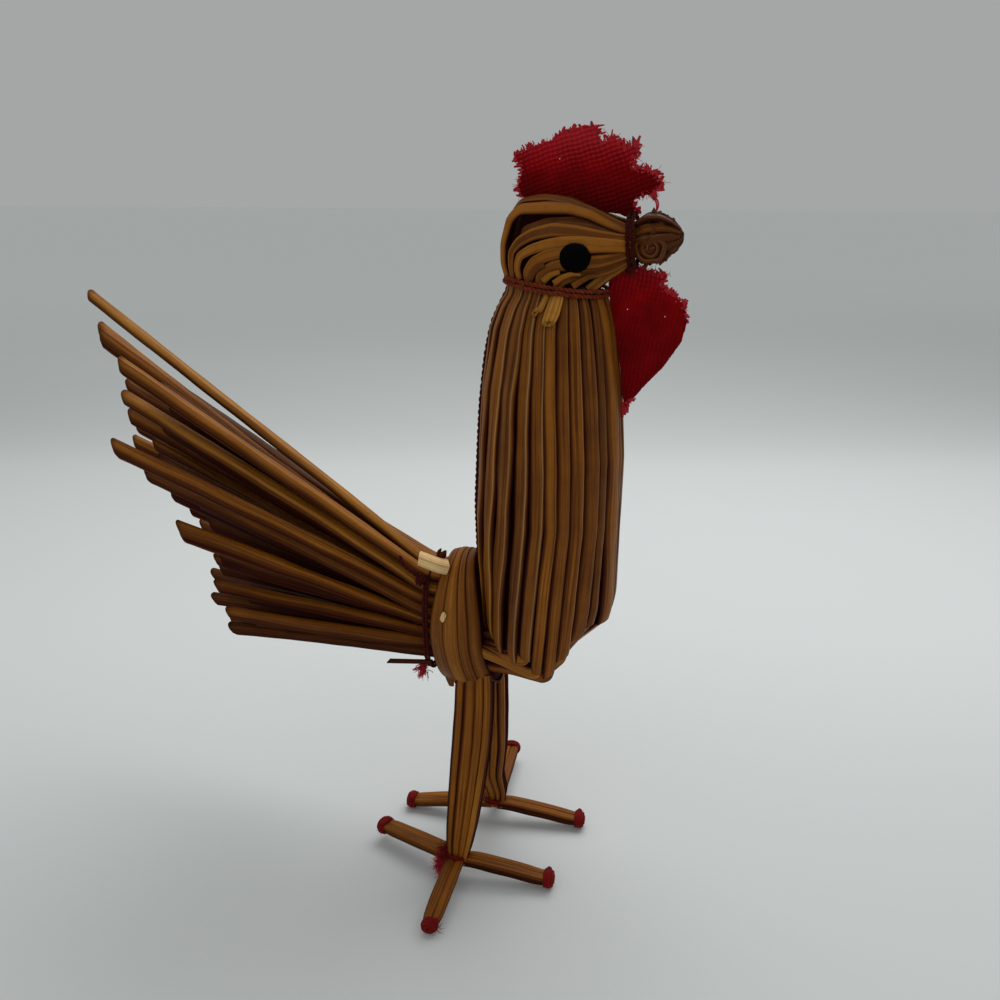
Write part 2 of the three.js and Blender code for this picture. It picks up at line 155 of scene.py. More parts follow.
def bow(value, power):
    """A power that keeps the sign: of a sine or cosine, below 1 it fills out the corners of an oval."""
    return np.sign(value) * np.abs(value) ** power


def hump(x, middle, width):
    """1 at the middle, falling away as exp(-((x - middle) / width)^2)."""
    return np.exp(-((x - middle) / width) ** 2)


def skin(centre, across, up, x, y):
    """Rings of points: x is measured along each centre's across, and y along its up."""
    return centre[:, None] + across[:, None] * x[..., None] + up[:, None] * y[..., None]


def surface(points, along, across, tone, shade, loop=False):
    """Rings of points and the marks its material reads: mm along and round, a tone from 0 to 1 that is one
    for each straw, and a shade from -1, a painted highlight, to 1, painted shade deep in a gap."""
    return {"p": points, "along": along, "across": across, "tone": tone, "shade": shade, "loop": loop}


def trail(rows, count, soften, loop=False):
    """Rows spread evenly along their length, then blurred by a bell curve `soften` mm wide, ends kept."""
    rows = np.asarray(rows, float)
    if loop:
        rows = np.vstack([rows, rows[:1]])
    run = np.r_[0, np.cumsum(np.linalg.norm(np.diff(rows[:, :3], axis=0), axis=1))]
    at = np.linspace(0, run[-1], count + 1)[:-1] if loop else np.linspace(0, run[-1], count)
    out = np.stack([np.interp(at, run, column) for column in rows.T], axis=1)
    reach = int(np.ceil(2.5 * soften / (run[-1] / count)))
    if reach < 1:
        return out, at
    reach = min(reach, count - 1)
    bell = np.exp(-0.5 * (np.arange(-reach, reach + 1) * run[-1] / count / max(soften, 1e-6)) ** 2)
    if loop:
        wide = np.vstack([out[-reach:], out, out[:reach]])
    else:
        wide = np.vstack([2 * out[0] - out[reach:0:-1], out, 2 * out[-1] - out[-2:-reach - 2:-1]])
    smooth = [np.convolve(column, bell / bell.sum(), mode="valid") for column in wide.T]
    return np.stack(smooth, axis=1), at


def frames(centre, side, loop=False):
    """Tangent, side and up at each point of a path: side is squared up to the tangent, up is their cross."""
    if loop:
        tangent = np.roll(centre, -1, axis=0) - np.roll(centre, 1, axis=0)
    else:
        tangent = np.gradient(centre, axis=0)
    tangent = unit(tangent)
    side = np.broadcast_to(side, centre.shape)
    side = unit(side - tangent * (side * tangent).sum(1, keepdims=True))
    return tangent, side, np.cross(tangent, side)


def straw(points, half, side, count=44, around=22, soften=1.0, square=2.5, cut=0.0, hollow=0.0, tone=None,
          crush=(), dusk=0.75, end_dark=0.5, roll=0.0, wave=0.0, lap=0.5, slant=0.0):
    """A flattened straw: a rounded oval |x/a|^n + |y/b|^n = 1 carried along a path, with shallow ribs.

    The far end can be cut aslant and opened as a hollow; crush lists distances along it where it is folded
    flat, and slant cuts the end across its width. shade is painted shade: 0 on the crown and 1 at the edges,
    where one straw meets the next, and on the inward face; lap spreads it over the edge that is tucked under
    and paints a highlight on the edge that lies on top. A hollow end is painted in shade inside and darker
    over its last 2.5 mm."""
    own = settings("straw")
    k = len(points)
    rows = np.hstack([points, np.broadcast_to(half, (k, 2)), np.broadcast_to(side, (k, 3))])
    path, at = trail(rows, count, soften)
    tangent, across, up = frames(path[:, :3], path[:, 5:8])
    tone = rng.uniform() if tone is None else tone
    phase = rng.uniform(0, TAU, 3)
    if roll or wave:
        turn = (roll + wave * np.sin(at * 0.35 + phase[0]))[:, None]
        across, up = across * np.cos(turn) + up * np.sin(turn), up * np.cos(turn) - across * np.sin(turn)
    w = angles(around, 0.5)
    c, s = np.cos(w), np.sin(w)
    rib = 1 + own.flute * (np.sin(5 * w + phase[0]) + 0.7 * np.sin(9 * w + phase[1]) - 0.4)
    rib = rib[None] * (1 + 0.012 * np.sin(at * 0.9 + phase[2]))[:, None]
    a, b = path[:, 3:4], path[:, 4:5]
    fold_depth, fold_reach = 0.45, 1.1
    for spot in crush:
        b = b * (1 - fold_depth * hump(at, spot, fold_reach))[:, None]
    x, y = a * bow(c, 2 / square) * rib, b * bow(s, 2 / square) * rib

    # painted shade at the edges where straws meet, over the tucked-under edge and on the inward face; a
    # painted highlight on the edge on top
    tucked, inward, outward = np.clip((-c - 0.3) / 0.3, 0, 1), s < -0.25, s > 0
    shade = np.clip(dusk * (np.abs(c) ** 8 + lap * tucked + 0.8 * inward), 0, 1)
    shade = np.broadcast_to(shade - 0.5 * lap * hump(c, 0.84, 0.1) * outward, x.shape)
    to_end = at[-1] - at
    darkened, slanted = np.clip(1 - to_end / 2.5, 0, 1) ** 4, np.clip(1 - to_end / 4.0, 0, 1) ** 2
    lean = cut * b * s * slanted[:, None] + slant * x * slanted[:, None]
    order = np.arange(count)
    if hollow:
        # painted shade inside the hollow and at its rim; the outside is also painted darker over the last 2.5
        # mm before the cut
        shade = np.maximum(shade, end_dark * darkened[:, None])
        deepest, rim_bulge, rim_shade = 0.8, 0.03, 0.55
        inner = order[::-1][:max(3, int(count * min(hollow / at[-1], deepest)))]
        bore = 1 - own.wall / np.maximum(np.minimum(a, b), own.wall * 1.6)
        rim = (1 + bore[-1:]) / 2
        x, y = (np.vstack([v, v[-1:] * rim, (v * bore)[inner]]) for v in (x, y))
        order = np.r_[order, count - 1, inner]
        lean = lean[order]
        lean[count] += rim_bulge
        deep = np.clip(to_end[inner] / 2.2, 0.25, 1)[:, None] + np.zeros((1, around))
        shade = np.vstack([shade, np.full((1, around), rim_shade), deep])
    body = skin(path[order, :3], across[order], up[order], x, y) + tangent[order, None] * lean[..., None]
    from_crown = np.abs(np.where(w > np.pi, w - TAU, w) - np.pi / 2) * (a.mean() + b.mean()) / 2
    return surface(body, at[order][:, None], from_crown, tone, shade)


def strand(points, radius, side=(0, 0, 1), per_mm=4.0, around=7, soften=0.4, loop=False, taper=1.0, flat=1.0):
    """A strand: a circle, or an oval where flat is below 1, carried along a path and thinner to its end."""
    count = int(max(6, path_length(points) * per_mm))
    path, at = trail(points, count, soften, loop)
    _, across, up = frames(path[:, :3], side, loop)
    w = angles(around, 0.5)
    thin = radius * (1 - (1 - taper) * at / at[-1])[:, None]
    body = skin(path[:, :3], across, up, thin * np.cos(w), thin * flat * np.sin(w))
    return surface(body, at[:, None], radius * w, rng.uniform(), 0.0, loop)


def thread(points, side=(0, 0, 1), loop=False, size=1.0, soften=0.5, twist_by=1.0):
    """Twisted thread: two plies, each a round strand whose centre winds round the path once per twist."""
    own = settings("thread")
    ply, pitch = own.ply * size, own.twist * size * twist_by
    length = path_length(np.vstack([points, points[:1]]) if loop else points)
    rings_per_twist, plies, lumps = 14, 2, 0.12
    count = int(length / pitch * rings_per_twist) + 8
    path, at = trail(points, count, soften, loop)
    _, across, up = frames(path[:, :3], side, loop)
    turns = max(1, round(length / pitch)) if loop else length / pitch
    w = angles(8, 0.5)
    grids = []
    tone = rng.uniform()
    for k in range(plies):
        spin = TAU * turns * np.arange(count) / count + TAU * k / plies
        centre = path[:, :3] + ply * 0.7 * (across * np.cos(spin)[:, None] + up * np.sin(spin)[:, None])
        _, ply_across, ply_up = frames(centre, across, loop)
        thick = ply * (1 + lumps * np.sin(at * 3.1 + k))[:, None]
        body = skin(centre, ply_across, ply_up, thick * np.cos(w), thick * np.sin(w))
        # painted shade where the plies meet: the nearer a point is to the thread's middle, the darker
        out = np.linalg.norm(body - path[:, None, :3], axis=2)
        shade = np.clip(1.35 - out / (ply * 1.25), 0, 1)
        grids.append(surface(body, at[:, None], ply * w, tone, shade, loop))
    return grids


def fibres(centre, spread, number, radius=0.045, length=2.0, pull=(0, 0, 0)):
    """Loose curly fibres: each starts near the centre and wanders, a random walk smoothed by its own path."""
    grids = []
    kinks, lowest = 6, 0.12
    for _ in range(number):
        start = np.asarray(centre) + rng.normal(0, 1, 3) * np.asarray(spread) * 0.5
        heading = rng.normal(0, 1, 3)
        steps = rng.normal(0, 1, (kinks, 3)) * 0.6 + heading + np.asarray(pull)
        steps *= length / kinks / np.linalg.norm(steps, axis=1, keepdims=True)
        points = np.vstack([start, start + np.cumsum(steps, axis=0)])
        points[:, 2] = np.maximum(points[:, 2], lowest)
        grids.append(strand(points, radius, side=(0.3, 0.2, 0.9), per_mm=5, around=4, soften=0.25, taper=0.5))
    return grids


def oval(centre, u, v, a, b, count=60, square=2.0):
    """Closed loop centre + a cos w u + b sin w v, its corners filled out where square is above 2."""
    w = angles(count)
    x, y = a * bow(np.cos(w), 2 / square)[:, None], b * bow(np.sin(w), 2 / square)[:, None]
    return np.asarray(centre) + x * np.asarray(u) + y * np.asarray(v)


def round_core(rows):
    """Painted shade inside a bundle: a dark filler, all in the gap colour, of ovals of half sizes a, b round
    each centre row [x, y, z, a, b].
    """
    rows, at = trail(rows, 30, 1.0)
    w = angles(40)
    x_way, y_way = (np.broadcast_to(way, (len(rows), 3)) for way in ((1, 0, 0), (0, 1, 0)))
    body = skin(rows[:, :3], x_way, y_way, rows[:, 3:4] * np.cos(w), rows[:, 4:5] * np.sin(w))
    if rows[-1, 2] < rows[0, 2]:
        body, at = body[::-1], at[::-1]
    return surface(body, at[:, None], 0.0, 0.1, 1.0)


def make_piece(name, grids, material, replaces=(), crease=40):
    """One mesh from many grids of points: quads between rings, a fan to the middle of each open end."""
    points, faces, marks, base = [], [], {"along": [], "across": [], "tone": [], "shade": []}, 0
    for grid in grids:
        p = grid["p"]
        n, m = p.shape[:2]
        index = base + np.arange(n * m).reshape(n, m)
        rings = np.vstack([index, index[:1]]) if grid["loop"] else index
        right = np.roll(rings, -1, axis=1)
        quads = np.stack([rings[:-1], right[:-1], right[1:], rings[1:]], axis=-1).reshape(-1, 4)
        faces.extend(quads.tolist())
        points.append(p.reshape(-1, 3))
        values = {key: np.broadcast_to(grid[key], (n, m)).reshape(-1) for key in marks}
        if not grid["loop"]:
            points.append(np.stack([p[0].mean(0), p[-1].mean(0)]))
            first, last = base + n * m, base + n * m + 1
            faces.extend(np.stack([np.full(m, first), right[0], rings[0]], 1).tolist())
            faces.extend(np.stack([np.full(m, last), rings[-1], right[-1]], 1).tolist())
            values = {key: np.r_[v, v[0], v[-1]] for key, v in values.items()}
        for key, v in values.items():
            marks[key].append(v)
        base += n * m + (0 if grid["loop"] else 2)
    joined = {key: np.concatenate(values) for key, values in marks.items()}
    return finish_mesh(name, place(np.vstack(points)), faces, joined, material, replaces, crease)


def finish_mesh(name, points, faces, marks, material, replaces, crease):
    """The mesh and its object, riding on the body and smooth up to the crease angle in degrees."""
    mesh = bpy.data.meshes.new(name)
    mesh.from_pydata(points.tolist(), [], faces)
    for key, value in marks.items():
        values = np.ascontiguousarray(value, dtype=np.float32)
        mesh.attributes.new(key, "FLOAT", "POINT").data.foreach_set("value", values)
    mesh.polygons.foreach_set("use_smooth", np.ones(len(mesh.polygons), dtype=bool))
    mesh.set_sharp_from_angle(angle=np.radians(crease))
    mesh.materials.append(material)
    mesh.update()
    piece = bpy.data.objects.new(name, mesh)
    bpy.context.collection.objects.link(piece)
    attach(piece, "root")
    if replaces:
        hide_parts(*replaces)
    return piece


# ---- materials ----
def linear(hexcode):
    """sRGB in hex to linear colour."""
    value = np.array([int(hexcode[i:i + 2], 16) for i in (1, 3, 5)]) / 255
    value = np.where(value <= 0.04045, value / 12.92, ((value + 0.055) / 1.055) ** 2.4)
    return (*value.tolist(), 1.0)


def dye(group, key):
    return linear(getattr(settings(group), key))


def add_node(tree, kind, settings_, links=None):
    """Adds a node: a setting named after an input sets that input, any other sets the node's own value."""
    node = tree.nodes.new(kind)
    for key, value in settings_.items():
        if isinstance(key, int) or key in node.inputs:
            node.inputs[key].default_value = value
        else:
            setattr(node, key, value)
    for key, source in (links or {}).items():
        tree.links.new(source, node.inputs[key])
    return node


def new_material(name):
    """A material, its node tree and the marks of the mesh; without these two if it has been made before."""
    found = bpy.data.materials.get(name)
    if found:
        return found, None, None
    material = bpy.data.materials.new(name)
    material.use_nodes = True
    material.node_tree.nodes.clear()
    tree = material.node_tree
    marks = {key: add_node(tree, "ShaderNodeAttribute", {"attribute_name": key}).outputs["Fac"]
             for key in ("along", "across", "tone", "shade")}
    return material, tree, marks


def noise(tree, vector, scale, detail):
    return add_node(tree, "ShaderNodeTexNoise", {"Scale": scale, "Detail": detail, "Roughness": 0.55},
                    {"Vector": vector}).outputs["Fac"]


def pattern(tree, marks, along, across, jump, detail=2.0):
    """Noise drawn out along the fibre: cells in a mm along and round, and its jump between straws."""
    factors = (("along", along), ("across", across), ("tone", jump))
    parts = [math(tree, "MULTIPLY", marks[key], factor) for key, factor in factors]
    where = add_node(tree, "ShaderNodeCombineXYZ", {}, dict(zip("XYZ", parts))).outputs[0]
    return noise(tree, where, 1.0, detail)


def ramp(tree, value, stops):
    """Colour ramp through the stops, smoothed where there are more than four."""
    node = add_node(tree, "ShaderNodeValToRGB", {}, {"Fac": value})
    if len(stops) > 4:
        node.color_ramp.interpolation = "B_SPLINE"
    while len(node.color_ramp.elements) < len(stops):
        node.color_ramp.elements.new(0.5)
    for element, (at, colour) in zip(node.color_ramp.elements, stops):
        element.position = at
        element.color = colour if len(colour) == 4 else (*colour, 1)
    return node.outputs["Color"]


def mix(tree, kind, factor, a, b):
    """Colour mix: node sockets 0, 6 and 7 are the factor and the two colours, output 2 is the result."""
    node = add_node(tree, "ShaderNodeMix", {"data_type": "RGBA", "blend_type": kind})
    for socket, value in ((0, factor), (6, a), (7, b)):
        if isinstance(value, (int, float, tuple)):
            node.inputs[socket].default_value = value
        else:
            tree.links.new(value, node.inputs[socket])
    return node.outputs[2]


def math(tree, operation, a, b=None, clamp=False):
    node = add_node(tree, "ShaderNodeMath", {"operation": operation, "use_clamp": clamp})
    for socket, value in ((0, a), (1, b)):
        if value is None:
            continue
        if isinstance(value, (int, float)):
            node.inputs[socket].default_value = value
        else:
            tree.links.new(value, node.inputs[socket])
    return node.outputs[0]


def tint(tree, colour, factor, value, stops):
    """Multiplies a colour by the tints that a ramp reads from a pattern."""
    return mix(tree, "MULTIPLY", factor, colour, ramp(tree, value, stops))


def painted_highlight(tree, marks, colour, highlight):
    """Painted highlight: the highlight colour mixed in where shade is below 0."""
    return mix(tree, "MIX", math(tree, "MULTIPLY", marks["shade"], -1.0, clamp=True), colour, highlight)


def painted_shade(tree, marks, power):
    """Painted shade: how deep in a gap, from shade where it is above 0."""
    return math(tree, "POWER", math(tree, "MAXIMUM", marks["shade"], 0.0), power)


def finish_material(tree, colour, roughness, height, bump_mm, shader):
    """The surface shader, roughened by a height pattern that stands bump_mm tall."""
    bump = add_node(tree, "ShaderNodeBump", {"Strength": 1.0, "Distance": bump_mm / MM}, {"Height": height})
    body = add_node(tree, "ShaderNodeBsdfPrincipled", shader,
                    {"Base Color": colour, "Roughness": roughness, "Normal": bump.outputs[0]})
    add_node(tree, "ShaderNodeOutputMaterial", {}, {"Surface": body.outputs[0]})


def straw_material(name="aged_rye_straw", gold="gold", brown="brown", light="light", gap=1.0):
    """Rye straw, split and pressed flat: a waxy skin over lengthwise fibres. It gives a soft long gloss,
    fine light and dark lines along each straw, straws that differ in age, a painted highlight on the edges
    that lie on top, and painted shade in the joints between them."""
    material, tree, marks = new_material(name)
    if tree is None:
        return material
    fibre = pattern(tree, marks, 0.05, 5.5, 91.0, 3.0)      # about 0.2 mm apart
    streak = pattern(tree, marks, 0.03, 2.6, 37.0)
    blotch = pattern(tree, marks, 0.16, 0.5, 53.0)
    mottle = pattern(tree, marks, 1.1, 2.2, 11.0, 3.0)
    age = math(tree, "ADD", math(tree, "MULTIPLY", marks["tone"], 0.48), math(tree, "MULTIPLY", blotch, 0.24))
    age = math(tree, "ADD", age, 0.07)
    shades = [(0.2, brown), (0.5, gold), (0.85, light)]
    body = ramp(tree, age, [(at, dye("straw", shade)) for at, shade in shades])
    body = tint(tree, body, 0.7, fibre, [(0.32, (0.62, 0.56, 0.48)), (0.62, (1.1, 1.08, 1.05))])
    body = tint(tree, body, 0.8, streak, [(0.34, (0.42, 0.32, 0.24)), (0.52, (1.05, 1.03, 1.0)),
                                          (0.68, (1.2, 1.24, 1.3))])
    body = tint(tree, body, 0.3, mottle, [(0.25, (0.6, 0.44, 0.3)), (0.5, (1, 1, 1))])
    # painted highlight in fresh-straw cream where shade is below 0
    body = painted_highlight(tree, marks, body, dye("straw", "cream"))
    # painted shade in the gap colour at the edges, joints and inward faces
    edge = math(tree, "MULTIPLY", painted_shade(tree, marks, 1.2), gap, clamp=True)
    body = mix(tree, "MIX", edge, body, dye("straw", "gap"))
    rough = math(tree, "ADD", math(tree, "MULTIPLY", fibre, 0.3), 0.32)
    rough = math(tree, "ADD", rough, math(tree, "MULTIPLY", edge, 0.5), clamp=True)
    height = math(tree, "ADD", fibre, math(tree, "MULTIPLY", streak, 0.7))
    finish_material(tree, body, rough, height, 0.09, {"IOR": 1.5, "Specular IOR Level": 0.13})
    return material


def thread_material(name, hexcode):
    """Two-ply cotton thread, dyed and faded: dull and hairy, with painted shade where the plies meet."""
    material, tree, marks = new_material(name)
    if tree is None:
        return material
    fibre = pattern(tree, marks, 1.6, 9.0, 40.0, 3.0)
    fade = pattern(tree, marks, 0.35, 0.4, 23.0)
    body = tint(tree, dye("thread", hexcode), 0.8, fibre, [(0.3, (0.5, 0.42, 0.4)), (0.68, (1.25, 1.2, 1.2))])
    body = tint(tree, body, 0.6, fade, [(0.3, (0.6, 0.55, 0.55)), (0.65, (1.15, 1.1, 1.1))])
    # painted shade in the valley colour between the plies
    body = mix(tree, "MIX", painted_shade(tree, marks, 1.3), body, dye("thread", "dark"))
    rough = math(tree, "ADD", math(tree, "MULTIPLY", fibre, 0.15), 0.75)
    finish_material(tree, body, rough, fibre, 0.08,
                    {"Sheen Weight": 0.04, "Sheen Roughness": 0.5, "Specular IOR Level": 0.08})
    return material


def cloth_material(name, hexcode):
    """Plain woven cotton dyed deep red: matt, with a dusty sheen on the thread crowns, painted shade in the
    pores between the threads and a painted highlight in fray red where shade is below 0.
    """
    material, tree, marks = new_material(name)
    if tree is None:
        return material
    fibre = pattern(tree, marks, 7.0, 7.0, 40.0, 3.0)
    fade = pattern(tree, marks, 0.22, 0.22, 5.0)
    body = tint(tree, dye("cloth", hexcode), 0.8, fibre, [(0.3, (0.55, 0.5, 0.5)), (0.7, (1.25, 1.5, 1.5))])
    body = tint(tree, body, 0.7, fade, [(0.35, (0.6, 0.5, 0.5)), (0.65, (1.2, 1.3, 1.3))])
    # painted highlight in fray red where shade is below 0, over the upper cloth
    body = painted_highlight(tree, marks, body, dye("cloth", "fray"))
    # painted shade and painted shadow in the valley colour
    body = mix(tree, "MIX", painted_shade(tree, marks, 1.2), body, dye("cloth", "valley"))
    rough = math(tree, "ADD", math(tree, "MULTIPLY", fibre, 0.1), 0.85)
    finish_material(tree, body, rough, fibre, 0.07,
                    {"Sheen Weight": 0.03, "Sheen Roughness": 0.5, "Specular IOR Level": 0.05})
    return material


def eye_material():
    """Black dye on a pressed disc: near black, dull, with a faint grain."""
    material, tree, marks = new_material("black_dyed_disc")
    if tree is None:
        return material
    grain = pattern(tree, marks, 3.0, 3.0, 9.0, 3.0)
    body = ramp(tree, grain, [(0.3, linear("#020101")), (0.7, linear("#070504"))])
    rough = math(tree, "ADD", math(tree, "MULTIPLY", grain, 0.2), 0.5)
    finish_material(tree, body, rough, grain, 0.05, {"Specular IOR Level": 0.03})
    return material


def maroon_thread():
    return thread_material("maroon_cotton_thread", "maroon")


def loose_red(name, grids):
    """A piece of loose red cotton: fibres, frayed ends and strips."""
    return make_piece(name, grids, cloth_material("frayed_red_cotton", "fray"), (), SOFT_CREASE)


# ---- breast ----
NECK = {"x": 14.8, "z": 115.0, "r": 8.3, "slope": -0.13}
ANKLE = {"x": 1.1, "y": 9.8, "z": 5.0}
# height, x of the middle and half width of the bundle
BREAST = [[114, 14.9, 7.7], [112, 14.7, 9.0], [109.5, 14.5, 10.0], [105, 14.4, 10.9], [97, 14.4, 11.8],
    [88.5, 14.6, 12.3], [77, 14.4, 12.3], [65, 14.5, 12.0], [56, 14.7, 11.6], [45, 14.3, 11.0]]
# for one side, from the front round to the back: degrees from straight ahead at the neck, at the middle and
# at the fold, height of the fold, and half width of the straw
BREAST_FAN = [[6, 4, 4, 55.8, 1.5], [22, 18, 16, 55.6, 2.0], [34, 32, 38, 56.0, 1.2],
    [47, 44, 53, 54.4, 1.5], [60, 57, 66, 50.4, 1.4], [71, 68, 78, 46.9, 1.2], [82, 78, 90, 47.3, 1.28],
    [92, 90, 103, 49.6, 1.45], [103, 104, 118, 48.9, 1.55], [116, 121, 136, 50.0, 2.2],
    [132, 141, 152, 51.0, 1.8], [148, 157, 166, 51.0, 1.7], [168, 173, 177, 51.0, 1.6]]


def neck_height(x, off=0.0):
    return NECK["z"] + off + NECK["slope"] * (x - NECK["x"])


def ankle(hand):
    return np.array([-hand * ANKLE["x"], -hand * ANKLE["y"], ANKLE["z"]])


def blade_path(row, hand):
    """Down the bundle's outline from the neck to the fold: x + r cos a, r sin a, z, where the angle a eases
    from its value at the neck to those at the middle and the fold."""
    neck, middle, low, fold, _ = row
    top = neck_height(NECK["x"] + NECK["r"] * np.cos(np.radians(neck)), -0.3)
    z = np.array([top, 113.6, 111.5, 108, 98, 86, 75, 66, 60, fold + 2.0, fold])
    eased = middle + 0.62 * (low - middle)
    angle = -hand * np.radians(np.interp(z, [fold, 60, 75, 108], [low, eased, middle, neck]))
    x, r = table(BREAST, z)
    sunk = rng.uniform(-0.35, 0.15) * np.clip((113 - z) / 12, 0, 1)
    behind = np.clip((np.abs(np.degrees(angle)) - 115) / 50, 0, 1)
    back_swell = behind * np.interp(z, [50, 70, 90], [0.6, 1.0, 0.3])
    fold_draw = np.r_[np.zeros(9), 0.1, 0.4]
    r = r - 0.45 + sunk + back_swell - fold_draw
    return np.stack([x + r * np.cos(angle), r * np.sin(angle), z], 1), angle, r


def breast_straw(row, hand):
    """One straw of the bundle, and the flap it makes when it turns back under the bundle to the waist."""
    low, width = row[2], row[4]
    path, angle, r = blade_path(row, hand)
    wide = rng.uniform(0.82, 0.96) * width * (r + 0.5) / 11.6
    thick = np.r_[0.85, 0.8, 0.76, 0.76, np.full(5, 0.82), 0.7, 0.45]
    side = np.stack([-np.sin(angle), np.cos(angle), 0 * angle], 1)
    slant = -hand * np.interp(low, [8, 30, 75, 95], [0, 0.85, 0.85, 0]) * np.sin(np.radians(low))
    blade = straw(path, np.stack([wide, thick], 1), side, count=110, around=26, soften=0.4, square=2.15,
                  roll=rng.uniform(-0.05, 0.32), wave=0.07, dusk=0.95, lap=rng.uniform(0.55, 1.0),
                  tone=rng.uniform(0.16, 0.6), slant=slant)

    xf, yf, zf = path[-1] * (1, 1.01, 1)
    front, goal, waist_z = xf > 15, 2.4, 48.5
    knee = min(xf - 1.2, 15.0)
    xs = np.r_[xf + 0.2, xf - 0.4, knee, (knee + goal) / 2, goal]
    share = (xs - goal) / max(xf - goal, 1.0)
    ys = yf * (np.interp(share, [0, 0.5, 0.85, 1], [0.45, 0.75, 0.98, 1]) if front else 0.62 + 0.38 * share)
    floor_z = 46.1 + rng.uniform(0, 0.5)
    if front:
        zs = np.r_[zf + 0.9, zf - 0.1, floor_z, floor_z - 0.6, 44.4]
    else:
        zs = np.r_[zf + 0.5, zf, zf - 0.2, (zf + waist_z) / 2, waist_z]
    out = np.array([0, -hand * np.sin(np.radians(low)), -np.clip(np.cos(np.radians(low)), 0.15, 1)])
    flap_side = np.cross(out, [-0.8, 0, -0.6 if front else 0.0])[None]
    wide = min(width, 1.35)
    half = [[wide * 0.8, 0.3], [wide, 0.35], [wide, 0.42], [wide, 0.42], [wide, 0.4]]
    flap = straw(np.stack([xs, ys, zs], 1), half, flap_side, count=44, around=18, soften=0.25, square=2.6,
                 roll=rng.uniform(-0.2, 0.2), dusk=0.9, lap=0.7)
    return [blade, flap]


class ROOSTER_OT_breast(bpy.types.Operator):
    """Breast: straws from the neck tie to the fold, with a pale split end turned down under the tie"""
    bl_idname = "rooster.breast"
    bl_label = "Breast straws"

    def execute(self, context):
        grids = []
        # how far the left side's rows stray from the right's
        unlike = np.array([1.5, 1.5, 2.5, 0.8, 0.1])
        for hand in (1, -1):
            for row in BREAST_FAN:
                stray = rng.uniform(-1, 1, 5) * unlike * (hand < 0)
                grids += breast_straw(np.array(row) + stray, hand)
        # the dark core is painted shade inside the bundle, seen through the gaps between the straws
        core = [[x, 0, z, r - 1.3, r - 1.3] for z, x, r in BREAST[:8]]
        core += [[14.5, 0, 59, 10.2, 10.3], [14.4, 0, 56.6, 10.0, 10.3], [13.7, 0, 54.4, 8.9, 10.2],
                 [12.7, 0, 52, 7.5, 10.1], [11.4, 0, 49.0, 6.8, 9.6], [11.2, 0, 47.4, 5.6, 8.9]]
        grids.append(round_core(core))
        make_piece("breast_bundle", grids, straw_material(), ["breast_straws"])
        ends = []
        for w0, w1, low, wide, tone in ((-1.35, -1.46, 109.9, 1.2, 0.6), (-1.56, -1.7, 111.3, 0.5, 0.5)):
            z = np.array([114.6, 113.6, 112.6, 111.6, low + 0.8, low])
            w = np.linspace(w0, w1, 6)
            x, r = table(BREAST, z)
            r = r + np.array([0.25, 0.5, 0.6, 0.65, 0.8, 1.15])
            path = np.stack([x + r * np.cos(w), r * np.sin(w), z], 1)
            half = [[wide * f, 0.34] for f in (0.8, 0.95, 1.0, 1.05, 1.0, 0.9)]
            ends.append(straw(path, half, (1, 0, 0), count=40, around=18, soften=0.35, hollow=1.6, cut=-0.9,
                              tone=tone, dusk=0.35, slant=-0.25))
        make_piece("turned_down_end", ends, straw_material("pale_gold_straw", "light", "gold", "cream", 0.8),
                   ["neck_loose_end"])
        return {"FINISHED"}


